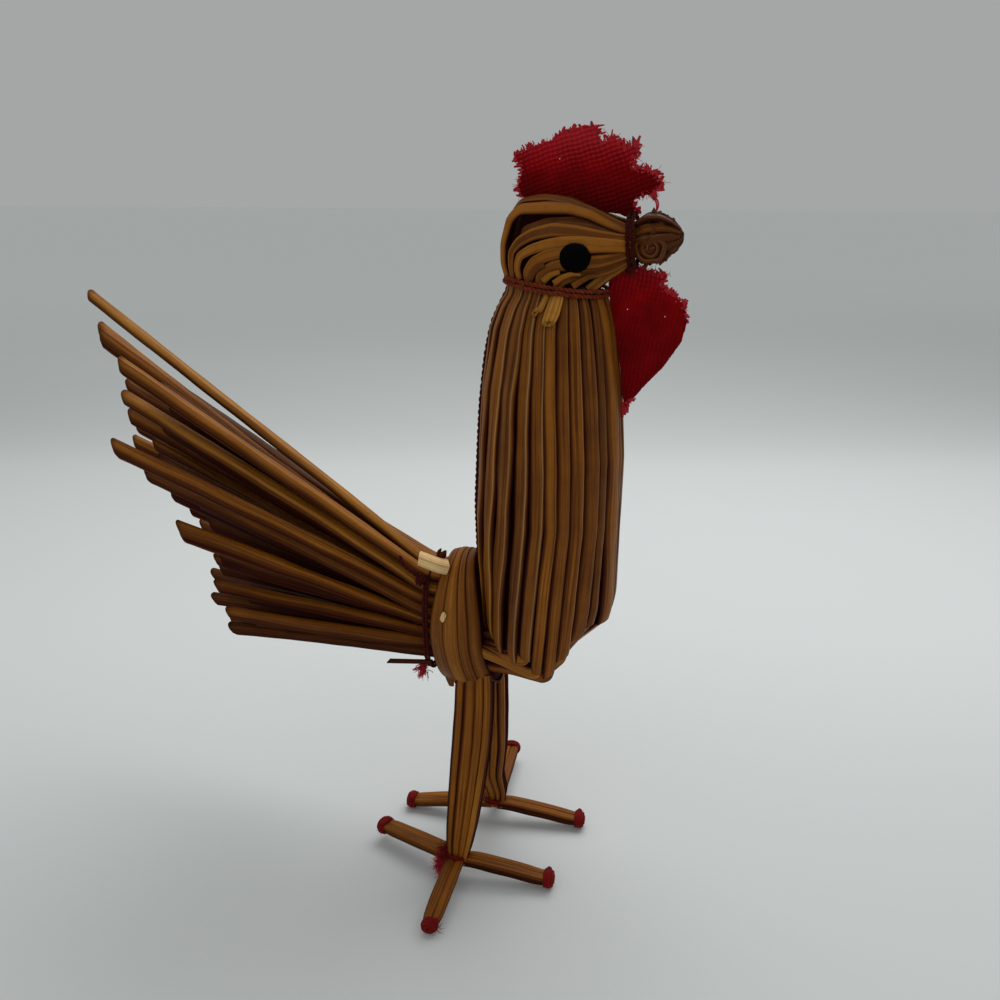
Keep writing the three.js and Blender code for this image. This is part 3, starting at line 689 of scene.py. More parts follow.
# ---- head ----
# x, y (right side), height, half width of each flattened straw on one side of the head
HEAD = {
    "crown_top": [[8.9, -2.0, 128.5, .85], [13.3, -2.0, 128.9, .9], [17.1, -2.1, 128.3, .86],
        [20.4, -2.1, 127.1, .8], [23.4, -1.9, 125.7, .7], [26.1, -2.0, 124.6, .55],
        [27.4, -1.9, 124.4, .5]],
    "crown_side": [[9.2, -4.0, 127.2, 1.15], [13.8, -4.4, 127.4, 1.2], [17.5, -4.4, 127.3, 1.12],
        [20.8, -4.2, 126.4, .98], [23.5, -3.5, 125.0, .8], [26.2, -3.0, 123.9, .6],
        [27.4, -2.8, 123.7, .55]],
    "brow": [[8.6, -5.4, 116.4, .5], [8.4, -6.0, 118.4, .62], [8.5, -6.2, 120.6, .75],
        [9.8, -6.3, 122.2, .95], [12.0, -6.4, 123.4, 1.12], [15.2, -6.5, 124.1, 1.23],
        [18.9, -6.4, 123.9, 1.13], [22.5, -5.7, 123.4, .8], [25.5, -4.1, 123.0, .6],
        [27.2, -3.2, 122.9, .5]],
    "over_eye": [[9.9, -6.2, 116.4, .6], [9.5, -6.6, 118.2, .62], [10.0, -6.9, 120.0, .72],
        [11.9, -7.1, 121.1, .86], [14.5, -7.1, 121.9, .95], [17.3, -7.0, 122.4, .9],
        [20.0, -6.8, 122.5, .86], [22.7, -6.2, 122.3, .82], [25.1, -4.6, 122.1, .7],
        [27.2, -3.3, 122.0, .55]],
    "behind_eye": [[11.6, -6.8, 115.8, .8], [11.3, -7.0, 117.5, .85], [12.4, -7.1, 119.1, .98],
        [14.6, -7.2, 120.2, 1.05], [17.3, -7.1, 120.8, 1.05], [21.4, -6.7, 121.4, .9],
        [24.7, -4.9, 121.3, .75], [27.2, -3.2, 121.1, .6]],
    "under_eye": [[13.6, -7.4, 115.6, .95], [13.8, -7.4, 117.3, 1.0], [15.9, -7.1, 118.6, 1.08],
        [19.2, -6.9, 119.1, 1.25], [22.7, -5.9, 119.3, 1.16], [25.1, -4.1, 119.8, .9],
        [27.2, -2.8, 120.4, .6]],
    "jaw": [[16.2, -7.4, 115.2, .8], [17.2, -7.2, 116.4, .85], [19.4, -6.4, 117.2, .95],
        [21.9, -5.1, 117.5, 1.0], [24.6, -3.3, 118.2, .85], [27.1, -1.9, 119.6, .6]],
    "chin": [[20.9, -4.6, 114.6, .9], [22.0, -4.0, 115.6, .95], [23.4, -2.6, 116.8, .95],
        [25.4, -1.6, 118.0, .85], [27.2, -.9, 119.2, .6]],
    "inner": [[9.4, -3.4, 118.0, .6], [10.0, -3.6, 124.0, .7], [13.7, -3.6, 125.2, .75],
        [18.4, -3.8, 125.5, .7], [22.1, -3.6, 124.8, .6], [26.3, -2.8, 123.2, .5]],
    "inner_low": [[9.0, -4.2, 117.0, .6], [9.4, -4.6, 121.0, .7], [12.0, -4.9, 123.9, .75],
        [16.4, -5.0, 124.9, .7], [20.6, -4.6, 124.6, .6], [26.0, -3.0, 122.8, .5]],
}
# straws that come up the back of the neck and fold over the crown into the top bands
RISERS = {
    "crown_top": [[6.9, -1.6, 115.9, .6], [6.2, -1.7, 118.6, .62], [6.1, -1.8, 121.6, .62],
        [7.4, -1.9, 126.0, .62]],
    "crown_side": [[7.4, -3.7, 115.9, .62], [6.6, -4.0, 118.6, .68], [6.6, -4.1, 121.8, .75],
        [7.7, -4.1, 125.6, 1.0]],
}
# short crumpled ends pushed up between the neck tie and the eye
CRUMPLES = [[[14.2, -7.9, 116.2], [15.4, -8.0, 117.3], [16.8, -7.7, 117.7]],
    [[16.0, -8.0, 115.9], [17.2, -7.9, 116.9], [18.9, -7.4, 117.5], [20.0, -6.9, 117.3]],
    [[18.9, -7.6, 115.5], [20.1, -7.1, 116.3], [21.4, -6.4, 117.0], [22.4, -5.6, 117.1]],
    [[11.9, -7.6, 116.4], [12.7, -7.7, 117.9], [14.3, -7.6, 118.7]]]
# the straw over the middle of the crown, from the back of the neck to the beak tie
OVER_THE_TOP = [[6.4, -.1, 115.9, .8], [5.6, -.1, 119.0, .85], [5.9, -.1, 123.0, .85],
    [8.3, -.1, 128.4, .9], [12.0, -.1, 129.3, .9], [17, -.1, 128.8, .85], [22, -.1, 126.6, .75],
    [27.2, -.1, 125.0, .6]]


def head_band(rows, hand, crush=(), tone=None, dusk=0.8, thick=0.34):
    """A flattened straw along its table, its flat side turned away from the middle of the head."""
    rows = np.array(rows, float)
    rows[:, 1] *= hand
    path = rows[:, :3]
    middle = np.stack([np.clip(path[:, 0], 14.0, 26.5), 0 * path[:, 1], np.clip(path[:, 2], 118.5, 122.3)], 1)
    side = unit(np.cross((path - middle) * (0.4, 1.0, 0.55), np.gradient(path, axis=0)))
    half = np.stack([0.94 * rows[:, 3], np.full(len(rows), thick)], 1)
    return straw(path, half, side, count=64, around=20, soften=0.45, square=3.0, crush=crush, tone=tone,
                 dusk=dusk, roll=rng.uniform(-0.12, 0.12), wave=0.05)


class ROOSTER_OT_head(bpy.types.Operator):
    """Head bands: straws folded over the crown and drawn together at the beak tie"""
    bl_idname = "rooster.head"
    bl_label = "Head straws"

    def execute(self, context):
        grids = []
        for hand in (1, -1):
            for name, rows in HEAD.items():
                crease_at = ()
                if name in RISERS:
                    crease_at = (path_length(np.array(RISERS[name] + rows[:1])[:, :3]),)
                # the inner bands, under the outer ones, get the darkest tone and full painted shade
                inner = name.startswith("inner")
                tone, dusk = (0.1, 1.0) if inner else (rng.uniform(0.35, 0.9), 0.8)
                grids.append(head_band(RISERS.get(name, []) + rows, hand, crease_at, tone, dusk))
            for points in CRUMPLES:
                rows = [[*p, 0.62 - 0.1 * i] for i, p in enumerate(points)]
                grids.append(head_band(rows, hand, thick=0.28))
        grids.append(head_band(OVER_THE_TOP, 1, (13,)))
        # dark cores: painted shade inside the head, seen between the bands
        grids.append(round_core([[14.8, 0, 115, 6.2, 6.2], [14.6, 0, 118, 6.9, 5.8], [16.0, 0, 121, 8.2, 4.9],
                                 [16.6, 0, 123.5, 8.6, 3.6], [15.8, 0, 125.6, 7.4, 2.7],
                                 [14.2, 0, 127.4, 5.0, 1.7]]))
        grids.append(round_core([[20, 0, 117.5, 3.0, 3.6], [22, 0, 119.5, 3.6, 3.6], [23, 0, 121.5, 3.8, 3.2],
                                 [23, 0, 123.8, 3.0, 1.8]]))
        make_piece("head_bands", grids, straw_material(), ["head_straws"])
        return {"FINISHED"}


EYE = {"x": 19.1, "y": 7.45, "z": 119.9, "r": 2.5}


class ROOSTER_OT_eyes(bpy.types.Operator):
    """Eyes: a low black disc on each side, rounded at the rim and nearly flat on top"""
    bl_idname = "rooster.eyes"
    bl_label = "Eyes"

    def execute(self, context):
        w = angles(48)
        wobble = 1 + 0.012 * np.sin(3 * w) + 0.01 * np.sin(7 * w + 1)
        r = np.r_[1.0, 1.0, 0.985, 0.93, 0.8, 0.6, 0.35, 0.12][:, None] * EYE["r"] * wobble
        rise = np.r_[-0.6, 0.0, 0.25, 0.45, 0.58, 0.66, 0.7, 0.71][:, None]
        for name, hand in (("right", 1), ("left", -1)):
            y = -hand * (EYE["y"] - 0.2 + rise * 0.9) + 0 * r
            body = np.stack([EYE["x"] + hand * r * np.cos(w), y, EYE["z"] + r * 0.94 * np.sin(w)], -1)
            disc = surface(body, r, r * w / 6, 0.5, 0.0)
            make_piece(f"eye_disc_{name}", [disc], eye_material(), [f"eye_{name}"])
        return {"FINISHED"}


# ---- beak ----
# x, height, half width and half height of the knot
BEAK = [[27.6, 122.3, 2.6, 2.7], [28.8, 122.4, 3.7, 3.9], [30.6, 122.7, 3.9, 4.5], [32.4, 122.7, 3.2, 3.9],
    [33.9, 122.8, 2.0, 2.7], [34.9, 122.9, 1.2, 1.6], [35.4, 123.0, .45, .7]]
# for each set of folds: how many round, how they wind along, and how deep
BEAK_FOLDS = ((2.5, 1.1, 0.19), (4, -1.7, 0.13), (7.5, 2.3, 0.09), (11, -0.6, 0.05))


def curl(hand):
    """A flattened straw wound into a flat spiral: its radius shrinks evenly as it goes round."""
    x, y, z, reach, turns, start, steps = 30.6, 2.6, 121.4, 2.5, 2.3, 1.9, 26
    w = start + np.linspace(0, turns * TAU, steps)
    uneven = 1 + 0.1 * np.sin(2.3 * w + 1) + 0.09 * np.sin(5.1 * w) + 0.07 * np.sin(8.7 * w + 2)
    r = np.linspace(reach, 0.5, steps) * uneven
    path = np.stack([x + r * np.cos(w), hand * (y + 0.5 * (1 - r / reach)), z + r * 1.05 * np.sin(w)], 1)
    half = np.stack([0.5 * np.linspace(1, 0.7, steps), np.full(steps, 0.5)], 1)
    out = np.stack([0.35 * np.cos(w), np.full(steps, hand), 0.35 * np.sin(w)], 1)
    side = unit(np.cross(out, np.gradient(path, axis=0)))
    return straw(path, half, side, count=110, around=14, soften=0.25, square=2.2, dusk=0.8, roll=0.35)


def beak_fold(hand, drop):
    """A crumpled straw end from the tie to the point, dropped from the top of the knot towards its foot."""
    rows = np.array([[27.8, 2.4, 122.3 + drop * 0.9], [29.6, 3.3, 122.7 + drop * 1.15],
                     [31.6, 3.0, 123.0 + drop * 1.05], [33.4, 2.0, 123.2 + drop * 0.7],
                     [34.7, 0.9, 123.1 + drop * 0.35]])
    rows[:, 1] *= hand * (1 - 0.1 * abs(drop))
    side = unit(np.cross((rows - (30.5, 0, 122.6)) * (0, 1, 1), np.gradient(rows, axis=0)))
    return straw(rows, [[.75, .4], [.9, .45], [.85, .45], [.65, .4], [.35, .3]], side, count=36, around=14,
                 soften=0.3, dusk=0.7, roll=rng.uniform(-.3, .3))


class ROOSTER_OT_beak(bpy.types.Operator):
    """Beak: the gathered straw ends twisted into a knot that tapers to a point"""
    bl_idname = "rooster.beak"
    bl_label = "Beak knot"

    def execute(self, context):
        rows, at = trail(BEAK, 60, 0.5)
        x, z, tall, deep = rows[:, :1], rows[:, 1:2], rows[:, 3:4] * 0.94, rows[:, 2:3] * 0.9
        w = angles(120)
        rib = 0.97 + sum(depth * (0.6 - np.abs(np.sin(n * w[None] + wind * x + k)))
                         for k, (n, wind, depth) in enumerate(BEAK_FOLDS))
        body = np.stack([x + 0 * w, deep * np.cos(w) * rib, z + tall * np.sin(w) * rib], -1)
        # painted shade in the folds: darker where the rib dips below its mean
        shade = np.clip(0.25 - 5 * (rib - 1), 0, 0.85)
        grids = [surface(body, at[:, None], 3.5 * (w + (x - 28) * 0.16), 0.2, shade)]
        for hand in (-1, 1):
            grids.append(curl(hand))
            grids += [beak_fold(hand, drop) for drop in (2.9, 1.4, -0.2, -1.8)]
        crumpled = straw_material("crumpled_straw", "brown", "brown", "gold", 0.85)
        make_piece("beak_knot", grids, crumpled, ["beak"])
        return {"FINISHED"}


# ---- threads ----
def knot(centre, radius, side=(0, 0, 1)):
    """A small overhand knot: three loops of thread set across each other."""
    c = np.asarray(centre, float)
    loops = []
    for u, v in (((1, 0, .3), (0, 1, .2)), ((0, .3, 1), (.3, 1, 0)), ((.8, .2, .8), (0, 1, -.4))):
        loops += thread(oval(c, u, v, radius, radius * 0.7, 14), side=(0.2, 0.9, 0.3), loop=True, soften=0.1)
    return loops


class ROOSTER_OT_ties(bpy.types.Operator):
    """Ties: twisted thread round the neck, beak, tail and ankles, and down the back of the neck"""
    bl_idname = "rooster.ties"
    bl_label = "Thread ties"

    def execute(self, context):
        tilt = unit(np.array([1, 0, NECK["slope"]]))
        axis = np.array([-NECK["slope"], 0, 1])
        grids = []
        for lift, out in ((0.4, 0.0), (-0.4, 0.12)):
            centre = np.array([NECK["x"], 0, NECK["z"]]) + axis * lift
            grids += thread(oval(centre, tilt, (0, 1, 0), 8.75 + out, 8.75 + out), loop=True, size=0.88)
        grids += knot((6.1, 1.6, 115.9), 0.7)
        rust = thread_material("rust_cotton_thread", "rust")
        make_piece("neck_tie", grids, rust, ["neck_thread"])

        axis = np.array([1, 0, 0.06])
        grids = []
        for lift, out in ((-0.4, 0.0), (0.4, 0.1)):
            ring = oval((27.3, 0, 122.3) + axis * lift, (-.06, 0, 1), (0, 1, 0), 4.15 + out, 4.15 + out)
            grids += thread(ring, side=(1, 0, 0), loop=True, size=0.94)
        grids += knot((27.4, -1.2, 118.0), 0.7)
        make_piece("beak_tie", grids, maroon_thread(), ["beak_thread"])

        z = np.array([114.8, 112.6, 109, 103, 95, 86, 76, 66, 60.5])
        x, r = table(BREAST, z)
        r, w = r + np.interp(z, [60, 70, 90, 112], [1.2, 1.5, 0.9, 0.5]), np.pi * 1.045
        path = np.stack([x + r * np.cos(w), r * np.sin(w), z], 1)
        make_piece("back_of_neck_thread", thread(path, side=(0, 1, 0), size=0.95, soften=1.5, twist_by=1.3),
                   maroon_thread(), ["back_thread"])

        grids = []
        for lift, out in ((-0.2, 0.0), (0.45, 0.15)):
            ring = oval((-7.9 + lift, 0, 52.5), (0, 0, 1), (0, 1, 0), 10.6 + out, 6.8 + out, 90, 2.9)
            grids += thread(ring, side=(1, 0, 0), loop=True, size=0.8)
        grids += knot((-8.6, -6.4, 61.4), 0.8)
        loose = [[-8.6, -6.6, 61.4], [-9.8, -6.9, 63.0], [-11.6, -7.0, 64.2], [-12.4, -6.9, 66.0]]
        grids += thread(loose, side=(0, 1, 0))
        make_piece("tail_tie", grids, maroon_thread(), ["tail_thread"])
        fluff = fibres((-9.3, -4.2, 42.4), (0.6, 0.4, 0.9), 90, 0.1, 2.1, (-0.5, -0.1, -1.3))
        loose_red("tail_tie_fluff", fluff)

        for name, hand in (("right", 1), ("left", -1)):
            centre = ankle(hand)
            lower = oval(centre, (1, 0, 0.1), (0, 1, 0), 2.3, 2.2, 30)
            upper = oval(centre + (0, 0, 0.6), (1, 0, -0.15), (0, 1, 0), 2.2, 2.15, 30)
            grids = thread(lower, loop=True, size=0.8) + thread(upper, loop=True, size=0.75)
            if name == "right":
                grids += fibres(centre + (-2.5, -1.1, 0.6), (1.0, 0.8, 1.4), 230, 0.055, 1.7)
                fluff = fibres(centre + (-3.2, -1.5, -2.0), (0.9, 0.7, 1.9), 330, 0.06, 1.6)
                loose_red("ankle_fluff_right", fluff)
            make_piece(f"ankle_tie_{name}", grids, thread_material("red_cotton_thread", "red"),
                       [f"ankle_thread_{name}"])
        return {"FINISHED"}


# ---- comb and wattle ----
# x and height round the edge of each cloth
COMB = [[25.0, 126.4], [9.4, 128.0], [7.9, 130.6], [8.7, 133.0], [7.5, 135.4], [10.4, 137.0], [13.6, 137.9],
    [15.2, 139.3], [18.2, 139.8], [20.9, 140.0], [21.4, 137.2], [23.6, 138.2], [25.6, 136.7], [27.6, 136.9],
    [26.6, 133.4], [30.2, 133.1], [31.5, 131.2], [30.0, 129.4], [28.6, 129.3], [27.3, 128.8], [27.0, 127.8],
    [28.0, 127.1], [27.5, 126.3], [25.8, 126.0]]
WATTLE = [[27.7, 118.2], [31.2, 117.3], [32.9, 117.0], [32.4, 115.4], [34.6, 113.8], [36.2, 112.1],
    [36.8, 109.6], [36.0, 106.2], [33.2, 101.8], [30.3, 98.6], [28.6, 96.4], [27.6, 95.4], [27.1, 94.6],
    [26.3, 97.0], [26.0, 101], [25.3, 105.5], [24.3, 109.5], [23.7, 113.4], [23.4, 115.6], [25.0, 117.9],
    [26.9, 118.4]]


def comb_bend(x, z):
    return 0.25 * np.sin((x - 9) * 0.28) * (z - 128) / 8


def wattle_bend(x, z):
    return 0.3 * np.sin((z - 94) * 0.3)


def inside(x, z, outline):
    """Even-odd count of outline edges crossed by a ray from each point."""
    odd = np.zeros(x.shape, bool)
    for (xa, za), (xb, zb) in zip(outline, np.roll(outline, -1, axis=0)):
        crosses = (za > z) != (zb > z)
        odd ^= crosses & (x < (xb - xa) * (z - za) / (zb - za + 1e-12) + xa)
    return odd


def woven(name, outline, spin, bend, replaces, dark, light, depth=1.0):
    """Plain weave: a thread's crown is a half round across it times a cosine along it, and the higher of the
    two sets shows. The sheet is a fine grid trimmed to the outline, given its thickness afterwards.

    dark is heights with how much painted shadow the cloth gets there; light is the two heights between which
    a painted highlight brightens it."""
    own = settings("cloth")
    points_per_thread = 7
    step = own.step / points_per_thread
    outline = np.array(outline, float)
    after = np.roll(outline, -1, axis=0)
    area = 0.5 * abs(np.sum(outline[:, 0] * after[:, 1] - after[:, 0] * outline[:, 1]))
    ca, sa = np.cos(spin), np.sin(spin)
    u, v = outline @ (ca, sa), outline @ (-sa, ca)
    along_u, along_v = (low - step + step * np.arange(int(span / step) + 3)
                        for low, span in ((u.min(), np.ptp(u)), (v.min(), np.ptp(v))))
    grid_u, grid_v = np.meshgrid(along_u, along_v, indexing="ij")
    phase = rng.uniform(0, TAU, 4)
    sway_u = 0.1 * np.sin(grid_v * 0.7 + phase[0]) + 0.04 * np.sin(grid_v * 2.3 + phase[1])
    sway_v = 0.16 * np.sin(grid_u * 0.4 + phase[2]) + 0.05 * np.sin(grid_u * 1.9 + phase[3])
    tu, tv = (grid_u + sway_u) / (own.step * 1.2), (grid_v + sway_v) / own.step
    cross_u, cross_v = np.abs(np.sin(np.pi * tu)) ** 0.7, np.abs(np.sin(np.pi * tv)) ** 0.7
    over = np.where((np.floor(tu) + np.floor(tv)) % 2 == 0, 1, -1)
    relief = np.maximum(cross_u * (0.45 + 0.55 * over * cross_v), cross_v * (0.45 - 0.55 * over * cross_u))
    x, z = grid_u * ca - grid_v * sa, grid_u * sa + grid_v * ca
    y = bend(x, z) + (relief - 0.5) * own.relief + 0.06 * np.sin(x * 0.8 + z * 0.5)

    near_u, near_v = np.floor(tu + 0.5), np.floor(tv + 0.5)
    pore = (cross_u < 0.35) & (cross_v < 0.35)
    pulled = np.sin(near_u * 12.9 + near_v * 78.2) * np.sin(near_u * 4.1) > 0.975      # a few pores are open
    keep = inside(x, z, outline) & ~(pore & pulled)
    index = np.arange(x.size).reshape(x.shape)
    whole = keep[:-1, :-1] & keep[1:, :-1] & keep[:-1, 1:] & keep[1:, 1:]
    quads = np.stack([index[:-1, :-1], index[1:, :-1], index[1:, 1:], index[:-1, 1:]], -1)[whole]
    used, faces = np.unique(quads, return_inverse=True)
    # painted shade in the weave's valleys and painted shadow low down; painted highlight, below 0, high up
    valley = depth * (0.4 * (1 - cross_v) + 0.5 * (0.75 - relief))
    shade = np.clip(valley + 0.85 * np.interp(z, *dark) - 0.8 * np.interp(z, light, [0, 1]), -1, 1)
    marks = {"along": grid_u.reshape(-1)[used], "across": grid_v.reshape(-1)[used],
             "tone": np.full(len(used), 0.5), "shade": shade.reshape(-1)[used]}
    points = place(np.stack([x, y, z], -1).reshape(-1, 3)[used])
    material = cloth_material("red_plain_weave_cotton", "red")
    piece = finish_mesh(name, points, faces.reshape(-1, 4).tolist(), marks, material, replaces,
                        SOFT_CREASE)
    solidify = piece.modifiers.new("thickness", "SOLIDIFY")
    solidify.thickness, solidify.offset, solidify.use_even_offset = own.thick / MM, 0, False
    return piece, area / MM ** 2, (np.ptp(u) / MM, np.ptp(v) / MM), (ca, sa)


def tuft(foot, way, reach, bend):
    """Flat blunt thread ends, then single hairs, fanned about one way from a point on the edge."""
    strands = []
    blunt_ends, hairs = 3, 3
    for n in range(blunt_ends + hairs):
        hair = n >= blunt_ends
        turn = rng.normal(0, 0.4)
        c, s = np.cos(turn), np.sin(turn)
        heading = unit(np.array([way[0] * c - way[1] * s, way[0] * s + way[1] * c]))
        far = reach * rng.uniform(0.25, 1.0) * (0.9 if hair else 0.75)
        start = foot - heading * 0.5 + rng.normal(0, 0.2, 2)
        drift = rng.normal(0, 0.2, 3) * [0.3, 0.7, 1.4]
        line = np.array([start, start + heading * (far * 0.5 + 0.4), start + heading * (far + 0.4)])
        line[1:] += rng.normal(0, 0.1, (2, 2))
        path = np.stack([line[:, 0], bend(line[:, 0], line[:, 1]) + drift, line[:, 1]], 1)
        side = (0, 0, 1) if abs(heading[0]) > 0.6 else (1, 0, 0)
        thick, flat = (0.05, 1.0) if hair else (rng.uniform(0.16, 0.36), 0.45)
        strands.append(strand(path, thick, per_mm=5, soften=0.15, taper=0.5, side=side, flat=flat))
    return strands


def frayed(name, outline, runs, axes, bend, every=0.7):
    """Loose ends along parts of the outline, in runs [first, last, length]: each tuft leaves between the
    nearest thread direction and square to the edge."""
    outline = np.array(outline, float)
    middle = outline.mean(0)
    ways = np.array([axes, (-axes[0], -axes[1]), (-axes[1], axes[0]), (axes[1], -axes[0])])
    grids = []
    for first, last, reach in runs:
        for a, b in zip(outline[first:last], outline[first + 1:last + 1]):
            run = np.linalg.norm(b - a)
            normal = np.array([b[1] - a[1], a[0] - b[0]]) / run
            if normal @ ((a + b) / 2 - middle) < 0:
                normal = -normal
            way = ways[np.argmax(ways @ normal)] * 0.5 + normal * 0.7
            for t in np.arange(0.2, run, every) / run:
                grids += tuft(a + (b - a) * t, way, reach, bend)
    return loose_red(name, grids)


class ROOSTER_OT_cloth(bpy.types.Operator):
    """Comb and wattle: plain woven red cotton with frayed edges"""
    bl_idname = "rooster.cloth"
    bl_label = "Cloth comb and wattle"

    def execute(self, context):
        # painted shadow over the lower comb, painted highlight over its top
        comb, area, flat, axes = woven("comb_cloth", COMB, np.radians(17), comb_bend, ["comb"],
                                       ([127, 133.5], [1, 0]), [132.5, 138.5])
        edges = [(1, 5, 1.1), (5, 9, 0.4), (9, 17, 1.4), (17, 22, 0.8)]
        fray = frayed("comb_frayed_ends", COMB, edges, axes, comb_bend)
        strip = [[29.2, 0.1, 130.0], [30.2, 0.2, 129.2], [30.9, 0.1, 128.0], [30.8, 0, 126.9]]
        beside = [[30.2, 0.2, 129.4], [31.0, 0.2, 128.6], [31.2, 0.2, 127.6], [30.7, 0.1, 126.7]]
        tendril = loose_red("comb_tendril", [strand(strip, 0.36, (0, 1, 0), taper=0.7, flat=0.5),
                                             strand(beside, 0.16, (0, 1, 0), taper=0.6)])
        hair = strand([[26.6, -0.2, 136.0], [26.7, -0.3, 137.2], [26.6, -0.2, 138.2]], 0.12, (0, 1, 0))
        dark = make_piece("comb_dark_hair", [hair], maroon_thread(), ())
        # painted shadow over the lower wattle, painted highlight near its top
        wattle, area, flat, axes = woven("wattle_cloth", WATTLE, np.radians(80), wattle_bend, ["wattle"],
                                         ([94, 112], [0.6, 0.2]), [110, 122], 0.5)
        fray = frayed("wattle_frayed_ends", WATTLE, [(0, 5, 1.0), (5, 6, 0.4)], axes, wattle_bend)
        hem = frayed("wattle_lower_fray", WATTLE, [(10, 12, 0.4)], axes, wattle_bend, 0.9)
        ends = [[[26.5 + k * 0.5, 0.1 * k, 95.6], [26.6 + k * 0.45, 0.1, 94.4],
                 [26.7 + k * 0.4, 0.2, 92.9 + 0.4 * k]] for k in range(3)]
        strip = loose_red("wattle_end_strip",
                          [strand(line, 0.3, (1, 0, 0), taper=0.8, flat=0.4) for line in ends])
        return {"FINISHED"}


# ---- waist ----
# x of each band edge at the top, at the side and at the bottom, with how far the wrap reaches up, down and
# sideways
WAIST_EDGES = [[-4.5, -6.4, -5.2, 13.7, 12.9, 8.2], [-3.0, -3.6, -1.4, 14.1, 14.0, 9.3],
               [-1.9, -0.7, 0.9, 14.2, 14.1, 9.4], [-0.9, 1.1, 3.0, 14.3, 13.9, 9.2],
               [0.5, 3.2, 5.1, 14.4, 12.8, 8.0]]
WAIST_Z = 51.8
# x, height from the middle, and half sizes of the dark filler under the bands, which is painted shade
WAIST_CORE = [[2.4, -12.5, 2.2, 2.0], [1.6, -11.3, 3.4, 4.4], [0.6, -9, 4.6, 6.4], [-1.6, 0, 5.4, 8.4],
    [-1.6, 9, 4.4, 6.0], [-1.4, 13.0, 2.4, 1.0]]
# points, half widths, the way across and tone of each torn shred above and below the bands
SCRAPS = [([[-5.5, -3.4, 64.6], [-5.1, -3.6, 65.8], [-4.5, -3.6, 66.6]], [.5, .8, .2], (0.6, 0, -.5), 0.1),
          ([[-6.1, -3.2, 65.2], [-6.0, -3.3, 66.1], [-5.5, -3.4, 66.8]], [.3, .45, .15], (1, 0, -.3), 0.1),
          ([[-4.3, -4.6, 42.4], [-3.9, -4.8, 41.1], [-3.6, -4.8, 40.0], [-3.5, -4.7, 39.2]],
           [.7, 1.0, .8, .5], (1, .2, .3), 0.1),
          ([[-3.1, -4.6, 41.4], [-2.6, -4.8, 40.5], [-2.3, -4.8, 39.5]], [.4, .5, .15], (1, .2, .4), 0.3)]


def waist_band(left, right, out, tone):
    """A flattened straw round the waist: its middle is an oval whose x follows the wrap's slant, and its
    section a thin lens between the two band edges."""
    w, v = angles(200), angles(20, 0.5)
    c, cv, sv = np.cos(w), np.cos(v), np.sin(v)
    blend = np.abs(c) ** 1.6

    def edge(row):
        top, side, bottom, high, low, wide = row
        x = side * (1 - blend) + np.where(c > 0, top, bottom) * blend
        return np.stack([x, -(wide + out) * np.sin(w), WAIST_Z + (np.where(c > 0, high, low) + out) * c], 1)

    a, b = edge(left), edge(right)
    normal = np.stack([0 * w, -np.sin(w), c], 1)
    half_thick, sunk = 0.34, 0.3
    rib = 1 + 0.04 * np.sin(4 * v + tone * 9) + 0.03 * np.sin(7 * v + tone * 23)
    swell = half_thick * bow(sv, 0.8) * rib * (1 + 0.1 * np.sin(3 * w + tone * 7))[:, None] - sunk
    body = skin((a + b) / 2, (b - a) / 2 * 1.1, normal, bow(cv, 0.8)[None], swell)
    # painted shade at the band's edges and on its inner face, and a faint painted highlight near one edge
    shade = np.clip(1.1 * np.abs(cv) ** 3 + 0.6 * (sv < 0), 0, 1) - 0.12 * hump(cv, -0.45, 0.2)
    return surface(body[::-1], (12 * w)[::-1, None], 1.4 * np.abs(v - np.pi / 2), tone, shade, loop=True)


def scrap(points, half, side, tone):
    """A torn shred of straw, its half widths given at each point."""
    return straw(points, [[h, 0.12] for h in half], side, count=24, around=12, soften=0.3, tone=tone,
                 dusk=0.3, wave=0.5)


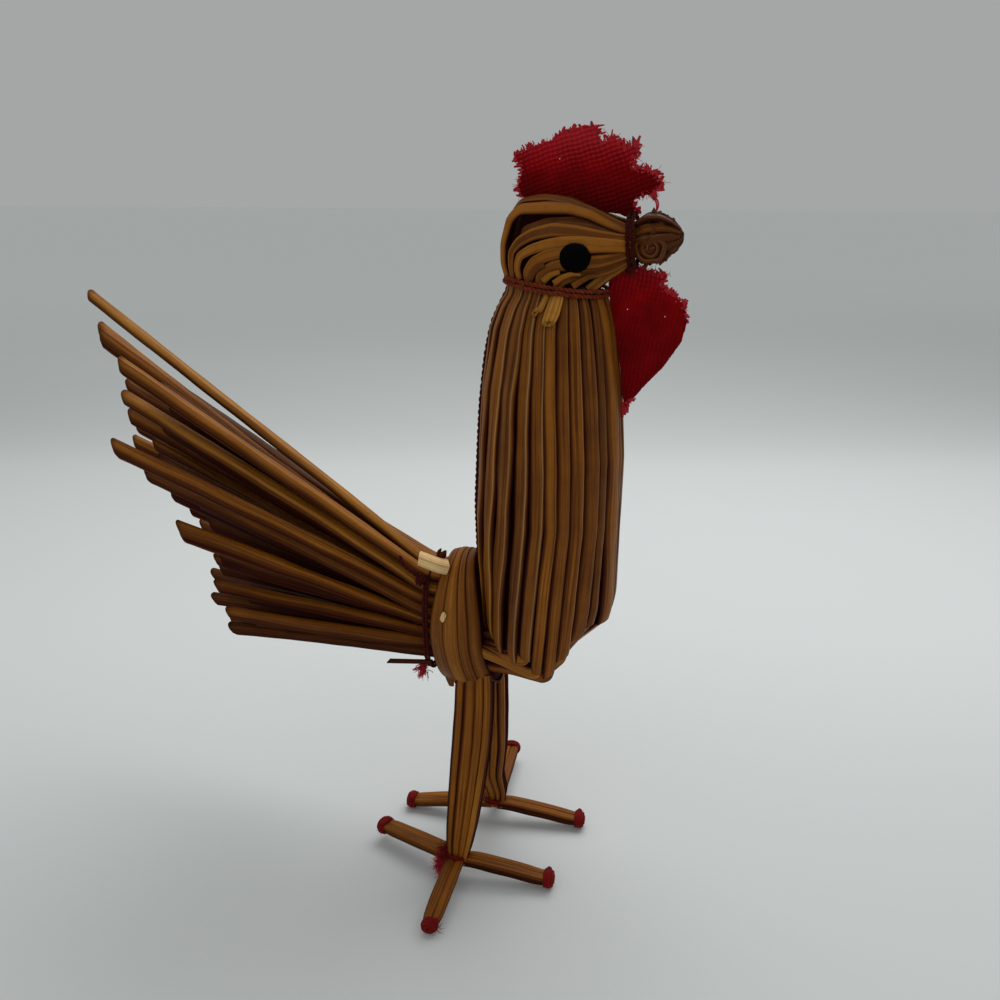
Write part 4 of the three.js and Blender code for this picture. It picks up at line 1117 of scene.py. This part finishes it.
class ROOSTER_OT_waist(bpy.types.Operator):
    """Waist: flattened straws wrapped round the bundle, with a chip and ragged scraps"""
    bl_idname = "rooster.waist"
    bl_label = "Waist wrap"

    def execute(self, context):
        # which edge each band starts at, how far out it lies, and its tone; the band from edge 1 has the
        # lightest tone, a painted highlight for the glare on it
        bands = [(0, 0.0, 0.5), (2, 0.0, 0.5), (3, -0.15, 0.3), (1, 0.12, 0.78)]
        grids = [waist_band(WAIST_EDGES[k], WAIST_EDGES[k + 1], out - 0.15, tone) for k, out, tone in bands]
        grids.append(round_core([[x, 0, WAIST_Z + up, a, b] for x, up, a, b in WAIST_CORE]))
        grids += [scrap(*row) for row in SCRAPS]
        make_piece("waist_bands", grids, straw_material(), ["waist_wrap"])

        w = angles(14)
        corner = 1.2
        reach = (np.abs(np.cos(w)) ** corner + np.abs(np.sin(w)) ** corner) ** (-1 / corner)
        ring = np.stack([0.62 * np.cos(w) * reach, 0 * w, 1.15 * np.sin(w + 0.35) * reach], 1)
        steps = ((1.0, -9.1), (1.0, -9.42), (0.8, -9.5), (0.3, -9.54))
        rings = np.stack([ring * share + (-3.4, y, 55.8) for share, y in steps])
        pith = straw_material("bare_straw_pith", "cream", "light", "cream", 0.2)
        chip = surface(rings, rings[..., 2], rings[..., 0], 0.9, 0.0)
        make_piece("waist_chip", [chip], pith, ())
        stub = straw([[-4.2, -4.4, 63.6], [-5.6, -5.3, 64.2], [-8.9, -5.9, 65.45]], [[1.55, 1.25]],
                     (0.0, -1, 0.0), count=50, around=30, soften=0.3, cut=0.25, hollow=3.0, tone=0.8,
                     dusk=0.12, end_dark=0.1, lap=0)
        make_piece("pale_stub", [stub], pith, ["pale_straw_stub"])
        thin = straw([[-6.8, -6.2, 44.7], [-11.8, -6.1, 44.1], [-15.8, -6.0, 43.6]], [[.5, .42]],
                     (0, -1, 0), count=30, around=14, hollow=2.0, cut=-0.8, tone=0.2)
        darkened = straw_material("darkened_straw", "brown", "gap", "gold", 0.9)
        make_piece("broken_straw", [thin], darkened, ["thin_broken_straw"])
        return {"FINISHED"}


# ---- tail ----
# for each column, near, middle and far: heading above the horizon in degrees, length, width
TAIL = [[[33.4, 68.9, 2.8], [29.3, 68.6, 2.5], [23.8, 66.6, 3.2], [22.5, 61.3, 2.9],
         [18.2, 51.1, 3.8], [8, 44.2, 2.6], [7, 39.8, 2.5], [3.3, 41.3, 2.4]],
        [[35.9, 84.4, 1.9], [32.1, 81.8, 3.3], [26.4, 69.8, 2.8], [24.6, 65.8, 2.8],
         [20.6, 58.7, 2.8], [9.8, 48.9, 2.7], [4.2, 47.7, 2.5], [-0.3, 45.6, 2.7]],
        [[29.8, 84.1, 2.6], [24.7, 77.4, 2.5], [21.9, 72.2, 2.7], [19.5, 74.6, 2.8],
         [14.6, 58.4, 2.9], [12.4, 57.2, 2.8], [7.3, 50.7, 2.8], [6.3, 54.5, 2.8]]]
# how far in mm a straw bows up in its middle, where it is not left to chance
BOWS = {(2, 0): -1.9, (1, 0): -0.3, (1, 1): -0.6}
PALE_REED = (1, 0)
TAIL_ROOT = {"x": -7.05, "apart": 3.9, "top": 61.3, "step": 2.42}


def tail_straw(column, row, spec, tone):
    """A hollow straw from the tail tie to its slanting cut end, as a straight run with a slight bow.
    column and row may be in between, for the straws that fill the fan from within."""
    angle, length, width = spec
    root, tip_spread, stagger = TAIL_ROOT, 8, 1.6
    lift = np.interp(row, [3, 7], [0, 1.2])
    a = np.radians(angle) - lift / length
    end = row <= 0 or row >= 7
    y0 = (column - 1) * (root["apart"] - (0.4 if end else 0))
    z0 = root["top"] - row * root["step"] + lift
    y1 = (column - 1) * tip_spread + (stagger if int(row) % 2 else -stagger)
    t = np.array([0, 0.3, 0.5, 0.65, 0.85, 1.0])
    bent = BOWS.get((column, row), rng.uniform(-0.35, 0.35)) * np.sin(np.pi * t)
    far = np.stack([root["x"] - length * t * np.cos(a) + bent * np.sin(a),
                    y0 + (y1 - y0) * t + bent * rng.uniform(-1, 1),
                    z0 + length * t * np.sin(a) + bent * np.cos(a)], 1)
    start = [root["x"] + 4.0, y0, z0]
    behind_tie = [root["x"] - 2.2, y0 + (y1 - y0) * 0.02, z0 + 1.3 * np.sin(a)]
    path = np.vstack([start, far[0], behind_tie, far[1:]])
    tall = min(width, 2.6) / 2
    half = np.array([[1.3, 0.9], [1.3 if end else 1.6, 0.95], [1.35 if end else 1.6, 0.98], [1.5, tall * 0.9],
                     [1.45, tall], [1.4, width * .46], [1.35, width * .49], [1.3, width / 2]])
    half[:, 0] = np.minimum(half[:, 0], width / 2 + 0.3)
    return straw(path, half, (0, -1, 0), count=90, around=26, soften=1.2, square=2.3, cut=0.9,
                 hollow=settings("straw").hollow, dusk=0.85, wave=0.06, roll=rng.uniform(-0.25, 0.25),
                 end_dark=0.75, lap=0.25, tone=tone)


class ROOSTER_OT_tail(bpy.types.Operator):
    """Tail: a fan of hollow straws in three columns"""
    bl_idname = "rooster.tail"
    bl_label = "Tail straws"

    def execute(self, context):
        for column, letter in enumerate("abc"):
            for row, spec in enumerate(TAIL[column]):
                if (column, row) == PALE_REED:
                    tone = 1.0
                else:
                    tone = np.clip(0.75 - 0.09 * row + rng.normal(0, 0.15), 0, 1)
                reed = tail_straw(column, row, spec, tone)
                make_piece(f"tail_reed_{letter}{row + 1}", [reed], straw_material(),
                           [f"tail_straw_{letter}{row + 1}"])
        inner = []
        # the inner reeds take the darkest tone: painted shade deep in the fan, behind the outer straws
        wide, dark = 3.5, 0.05
        for column in (0, 1):
            for row in range(7):
                (a0, l0, _), (a1, l1, _) = TAIL[column][row], TAIL[column + 1][row + 1]
                spec = ((a0 + a1) / 2, min(l0, l1) * 0.9, wide)
                inner.append(tail_straw(column + 0.5, row + 0.5, spec, dark))
        inner.append(tail_straw(1, 6.5, (2.0, 42, wide), dark))
        make_piece("tail_inner_reeds", inner, straw_material())
        return {"FINISHED"}


# ---- legs and toes ----
# height, x, distance from the middle line, half width and half depth of a leg
LEG = [[43, 1.2, 4.2, 3.4, 1.9], [41, 1.2, 4.4, 3.6, 1.9], [36.6, 1.25, 4.8, 3.7, 2.0],
    [29, 1.0, 6.0, 3.75, 2.0], [20, 0.4, 7.6, 3.45, 1.9], [12, -0.3, 8.9, 3.0, 1.8]]
# each straw of a leg: place across it, half width as a share of the leg's, and which face it is on
LEG_STRAWS = [(-.74, .27, 1), (-.2, .36, 1), (.34, .27, 1), (.78, .23, 1), (-.62, .38, -1), (.05, .38, -1),
    (.68, .34, -1), (0, .6, 0)]
# side, place, heading in degrees, length, how far the tip is above the floor, and the size of the tip
TOES = [("right", "front", 4, 18.0, 0, 1.0), ("right", "back", 158.6, 19.4, 1.2, 1.0),
    ("right", "side", -91, 16.6, 0, 0.78), ("left", "front", 4.8, 18.2, 0, 1.0),
    ("left", "back", 182.8, 18.4, 0, 1.0), ("left", "side", 94.5, 22.0, 1.8, 1.0)]
# shift across the toe, rise and half width of each of its straws
TOE_STRAWS = ((-.8, .3, 1.05), (.82, .25, 1.0), (0.0, -.6, 1.5))


def leg_straw(hand, across, share, face):
    """One flattened straw of a leg, from under the waist to the ankle tie, where all of them draw in."""
    fx, fy = ANKLE["x"] * -hand, ANKLE["y"]
    foot = [[6.8, fx + 0.35, fy, 2.4, 1.8], [5.0, fx + 0.2, fy, 1.9, 1.7], [3.6, fx + 0.1, fy, 1.7, 1.6]]
    z, x, y, a, b = np.array(LEG + foot, float).T
    x = x + np.where((z < 25) & (z > 9), 0.4 if hand < 0 else 0.0, 0.0)
    path = np.stack([x + across * a, -hand * y - face * np.maximum(b - 0.7, 0.5), z], 1)
    half = np.stack([np.maximum(a * share * 0.95, 0.45), np.where(z > 8, 0.78, 0.55)], 1)
    spin = across * 0.5 * face
    side = np.array([np.cos(spin), -np.sin(spin) * face * hand, 0]) * (face or 1)
    return straw(path, half, side, count=64, around=18, soften=1.2, square=2.3, roll=rng.uniform(-.15, .15),
                 wave=0.05, dusk=1.0 if face else 0.6, lap=0.7, tone=rng.uniform(0.45, 0.85))


class ROOSTER_OT_legs(bpy.types.Operator):
    """Legs: flattened straws side by side down to the ankle ties"""
    bl_idname = "rooster.legs"
    bl_label = "Legs"

    def execute(self, context):
        for name, hand in (("right", 1), ("left", -1)):
            straws = [leg_straw(hand, *row) for row in LEG_STRAWS]
            make_piece(f"leg_bundle_{name}", straws, straw_material(), [f"leg_{name}"])
        return {"FINISHED"}


def toe_path(hand, heading, length, lift):
    """Points from the ankle to the tip, with the way the toe points and the way across it."""
    a = np.radians(heading)
    way, across = np.array([np.cos(a), np.sin(a), 0]), np.array([-np.sin(a), np.cos(a), 0])
    tip, root = 1.97 + lift, 4.2
    stops = [(0.6, 4.1), (3.3, root), (length * 0.35, root * 0.8 + tip * 0.2),
             (length * 0.65, root * 0.45 + tip * 0.55), (length - 1.9, tip + 0.15), (length, tip),
             (length + 0.6, tip)]
    foot = ankle(hand) * (1, 1, 0)
    return np.array([foot + way * d + (0, 0, z) for d, z in stops]), way, across


class ROOSTER_OT_toes(bpy.types.Operator):
    """Toes: three flattened straws each, bound at the tip with red thread"""
    bl_idname = "rooster.toes"
    bl_label = "Toes"

    def execute(self, context):
        red = thread_material("red_cotton_thread", "red")
        draw = np.array([.8, 1, 1, 1, 1, .8, .8])[:, None]
        for side, name, heading, length, lift, slim in TOES:
            path, way, across = toe_path(1 if side == "right" else -1, heading, length, lift)
            grids = []
            for shift, rise, wide in TOE_STRAWS:
                half = np.stack([wide * np.array([.9, 1, 1.05, 1.05, 1, .85 * slim, .85 * slim]),
                                 .72 * np.array([1, 1.1, 1.15, 1.1, 1, .85, .85])], 1)
                line = path + (across * shift + np.array([0, 0, rise])) * draw
                roll = rng.uniform(-.12, .12)
                tone = rng.uniform(0.3, 0.75)
                grids.append(straw(line, half, across, count=44, around=18, soften=0.9, square=2.3,
                                   hollow=0.8, roll=roll, dusk=0.7, lap=0.45, tone=tone))
            make_piece(f"toe_bundle_{side}_{name}", grids, straw_material(), [f"toe_{side}_{name}"])
            tip = path[5]
            grids = []
            for d, share in ((-0.5, 0.95), (-0.05, 1.0), (0.4, 0.98), (0.8, 0.84), (1.0, 0.5)):
                r = share * slim
                at = tip + way * (d + rng.uniform(-0.08, 0.08))
                loop = oval(at, across, (0, 0, 1), 1.78 * r, 1.42 * r, 26, 2.4)
                loop[:, 2] = np.maximum(loop[:, 2], lift + 0.3)
                grids.append(strand(loop, 0.3, side=way, around=10, loop=True))
                loop = oval(tip + way * (d + 0.2), across, (0, 0, 1), 1.86 * r, 1.5 * r, 26, 2.4)
                grids += thread(loop, side=way, loop=True, size=0.36)
            grids += knot(tip + across * 1.2 + (0, 0, 1.0), 0.35)
            grids += fibres(tip + across * 1.5 + (0, 0, -0.4), (0.5, 0.5, 0.6), 22, 0.04, 1.3)
            make_piece(f"toe_tie_{side}_{name}", grids, red, [f"toe_thread_{side}_{name}"])
        return {"FINISHED"}


# ---- stage ----
CAMERA_AT = (48.3, -162.0, 130.6)      # mm
CAMERA_DOWN, CAMERA_TURN = 18.0, 15.0  # degrees below level, and turned left of straight ahead
# metres in front of the camera, and how bright the board is there as a share of its own white: painted light
# and shade for the stage lights' unevenness
FADE = [(0.13, 0.85), (0.19, 0.9), (0.25, 1.0), (0.31, 1.0), (0.45, 1.0), (0.5, 0.9), (0.58, 0.87),
    (0.74, 0.98), (1.1, 1.16), (1.5, 1.18)]
# place in mm, size in metres and power in watts
LAMPS = {"overhead_softbox": ((50, 190, 460), 0.44, 1.22), "front_softbox": ((-60, -420, 380), 0.4, 0.2)}
TABLE_REACH = 6.0       # metres


def board_material(eye, turn):
    """Matt white board with painted light: how bright it is changes with the distance in front of the camera,
    standing in for the uneven light of the stage.
    """
    material = bpy.data.materials.new("matt_white_board")
    material.use_nodes = True
    tree = material.node_tree
    tree.nodes.clear()
    where = add_node(tree, "ShaderNodeTexCoord", {}).outputs["Object"]
    ahead = (-np.sin(turn), np.cos(turn), 0)
    distance = add_node(tree, "ShaderNodeVectorMath", {"operation": "DOT_PRODUCT", 1: ahead},
                        {0: where}).outputs["Value"]
    start = -eye[0] * np.sin(turn) + eye[1] * np.cos(turn)
    furthest = FADE[-1][0]
    depth = math(tree, "DIVIDE", math(tree, "SUBTRACT", distance, float(start)), furthest)
    white = linear(settings("stage").table)[:3]
    colour = ramp(tree, depth, [(far / furthest, tuple(c * share for c in white)) for far, share in FADE])
    paper = noise(tree, where, 900.0, 2.0)
    colour = tint(tree, colour, 0.04, paper, [(0.3, (0.8, 0.8, 0.8)), (0.7, (1, 1, 1))])
    body = add_node(tree, "ShaderNodeBsdfPrincipled", {"Roughness": 0.75, "Specular IOR Level": 0.2},
                    {"Base Color": colour})
    add_node(tree, "ShaderNodeOutputMaterial", {}, {"Surface": body.outputs[0]})
    return material


class ROOSTER_OT_stage(bpy.types.Operator):
    """Stage: a plain pale table top, soft studio light and the camera"""
    bl_idname = "rooster.stage"
    bl_label = "Table, light and camera"

    def execute(self, context):
        turn, eye = np.radians(CAMERA_TURN), place(CAMERA_AT)
        mesh = bpy.data.meshes.new("table_top")
        corners = [(x * TABLE_REACH, y * TABLE_REACH, 0) for x, y in ((-1, -1), (1, -1), (1, 1), (-1, 1))]
        mesh.from_pydata(corners, [], [(0, 1, 2, 3)])
        mesh.materials.append(board_material(eye, turn))
        floor = bpy.data.objects.new("table_top", mesh)
        bpy.context.collection.objects.link(floor)

        world = bpy.data.worlds.new("soft_grey_room")
        world.use_nodes = True
        background = world.node_tree.nodes["Background"]
        background.inputs["Color"].default_value = linear("#a4a7a6")
        background.inputs["Strength"].default_value = 1.0
        context.scene.world = world
        target = place((0, 0, 60))
        for name, (at, spread, power) in LAMPS.items():
            light = bpy.data.lights.new(name, "AREA")
            light.size, light.energy = spread, power
            lamp = bpy.data.objects.new(name, light)
            lamp.location = place(at)
            lamp.rotation_mode = "QUATERNION"
            lamp.rotation_quaternion = Vector(target - place(at)).to_track_quat("-Z", "Y")
            bpy.context.collection.objects.link(lamp)

        data = bpy.data.cameras.new("camera")
        data.lens, data.sensor_width = settings("stage").lens, 36.0
        data.clip_start, data.clip_end = 0.005, 50.0
        camera = bpy.data.objects.new("camera", data)
        camera.location = eye
        camera.rotation_euler = (np.radians(90 - CAMERA_DOWN), 0, turn)
        bpy.context.collection.objects.link(camera)
        context.scene.camera = camera
        context.scene.view_settings.view_transform = "Standard"
        return {"FINISHED"}


class ROOSTER_PT_panel(bpy.types.Panel):
    """Lists the rooster's pieces in the sidebar"""
    bl_label = "Straw rooster"
    bl_idname = "ROOSTER_PT_panel"
    bl_space_type = "VIEW_3D"
    bl_region_type = "UI"
    bl_category = "Straw rooster"

    def draw(self, context):
        for operator in OPERATORS:
            self.layout.operator(operator.bl_idname)
        for name, group in GROUPS.items():
            box = self.layout.box()
            for key in group.__annotations__:
                box.prop(getattr(context.scene, "rooster_" + name), key)


GROUPS = {"straw": StrawSettings, "thread": ThreadSettings, "cloth": ClothSettings, "stage": StageSettings}
OPERATORS = (ROOSTER_OT_stage, ROOSTER_OT_breast, ROOSTER_OT_head, ROOSTER_OT_eyes, ROOSTER_OT_beak,
             ROOSTER_OT_ties, ROOSTER_OT_cloth, ROOSTER_OT_waist, ROOSTER_OT_tail, ROOSTER_OT_legs,
             ROOSTER_OT_toes)


def register():
    for cls in (*GROUPS.values(), *OPERATORS, ROOSTER_PT_panel):
        bpy.utils.register_class(cls)
    for name, group in GROUPS.items():
        setattr(bpy.types.Scene, "rooster_" + name, bpy.props.PointerProperty(type=group))


def unregister():
    for name in GROUPS:
        delattr(bpy.types.Scene, "rooster_" + name)
    for cls in (ROOSTER_PT_panel, *reversed(OPERATORS), *GROUPS.values()):
        bpy.utils.unregister_class(cls)


def main():
    register()
    for operator in OPERATORS:
        group, name = operator.bl_idname.split(".")
        getattr(getattr(bpy.ops, group), name)()


if __name__ == "__main__":
    main()
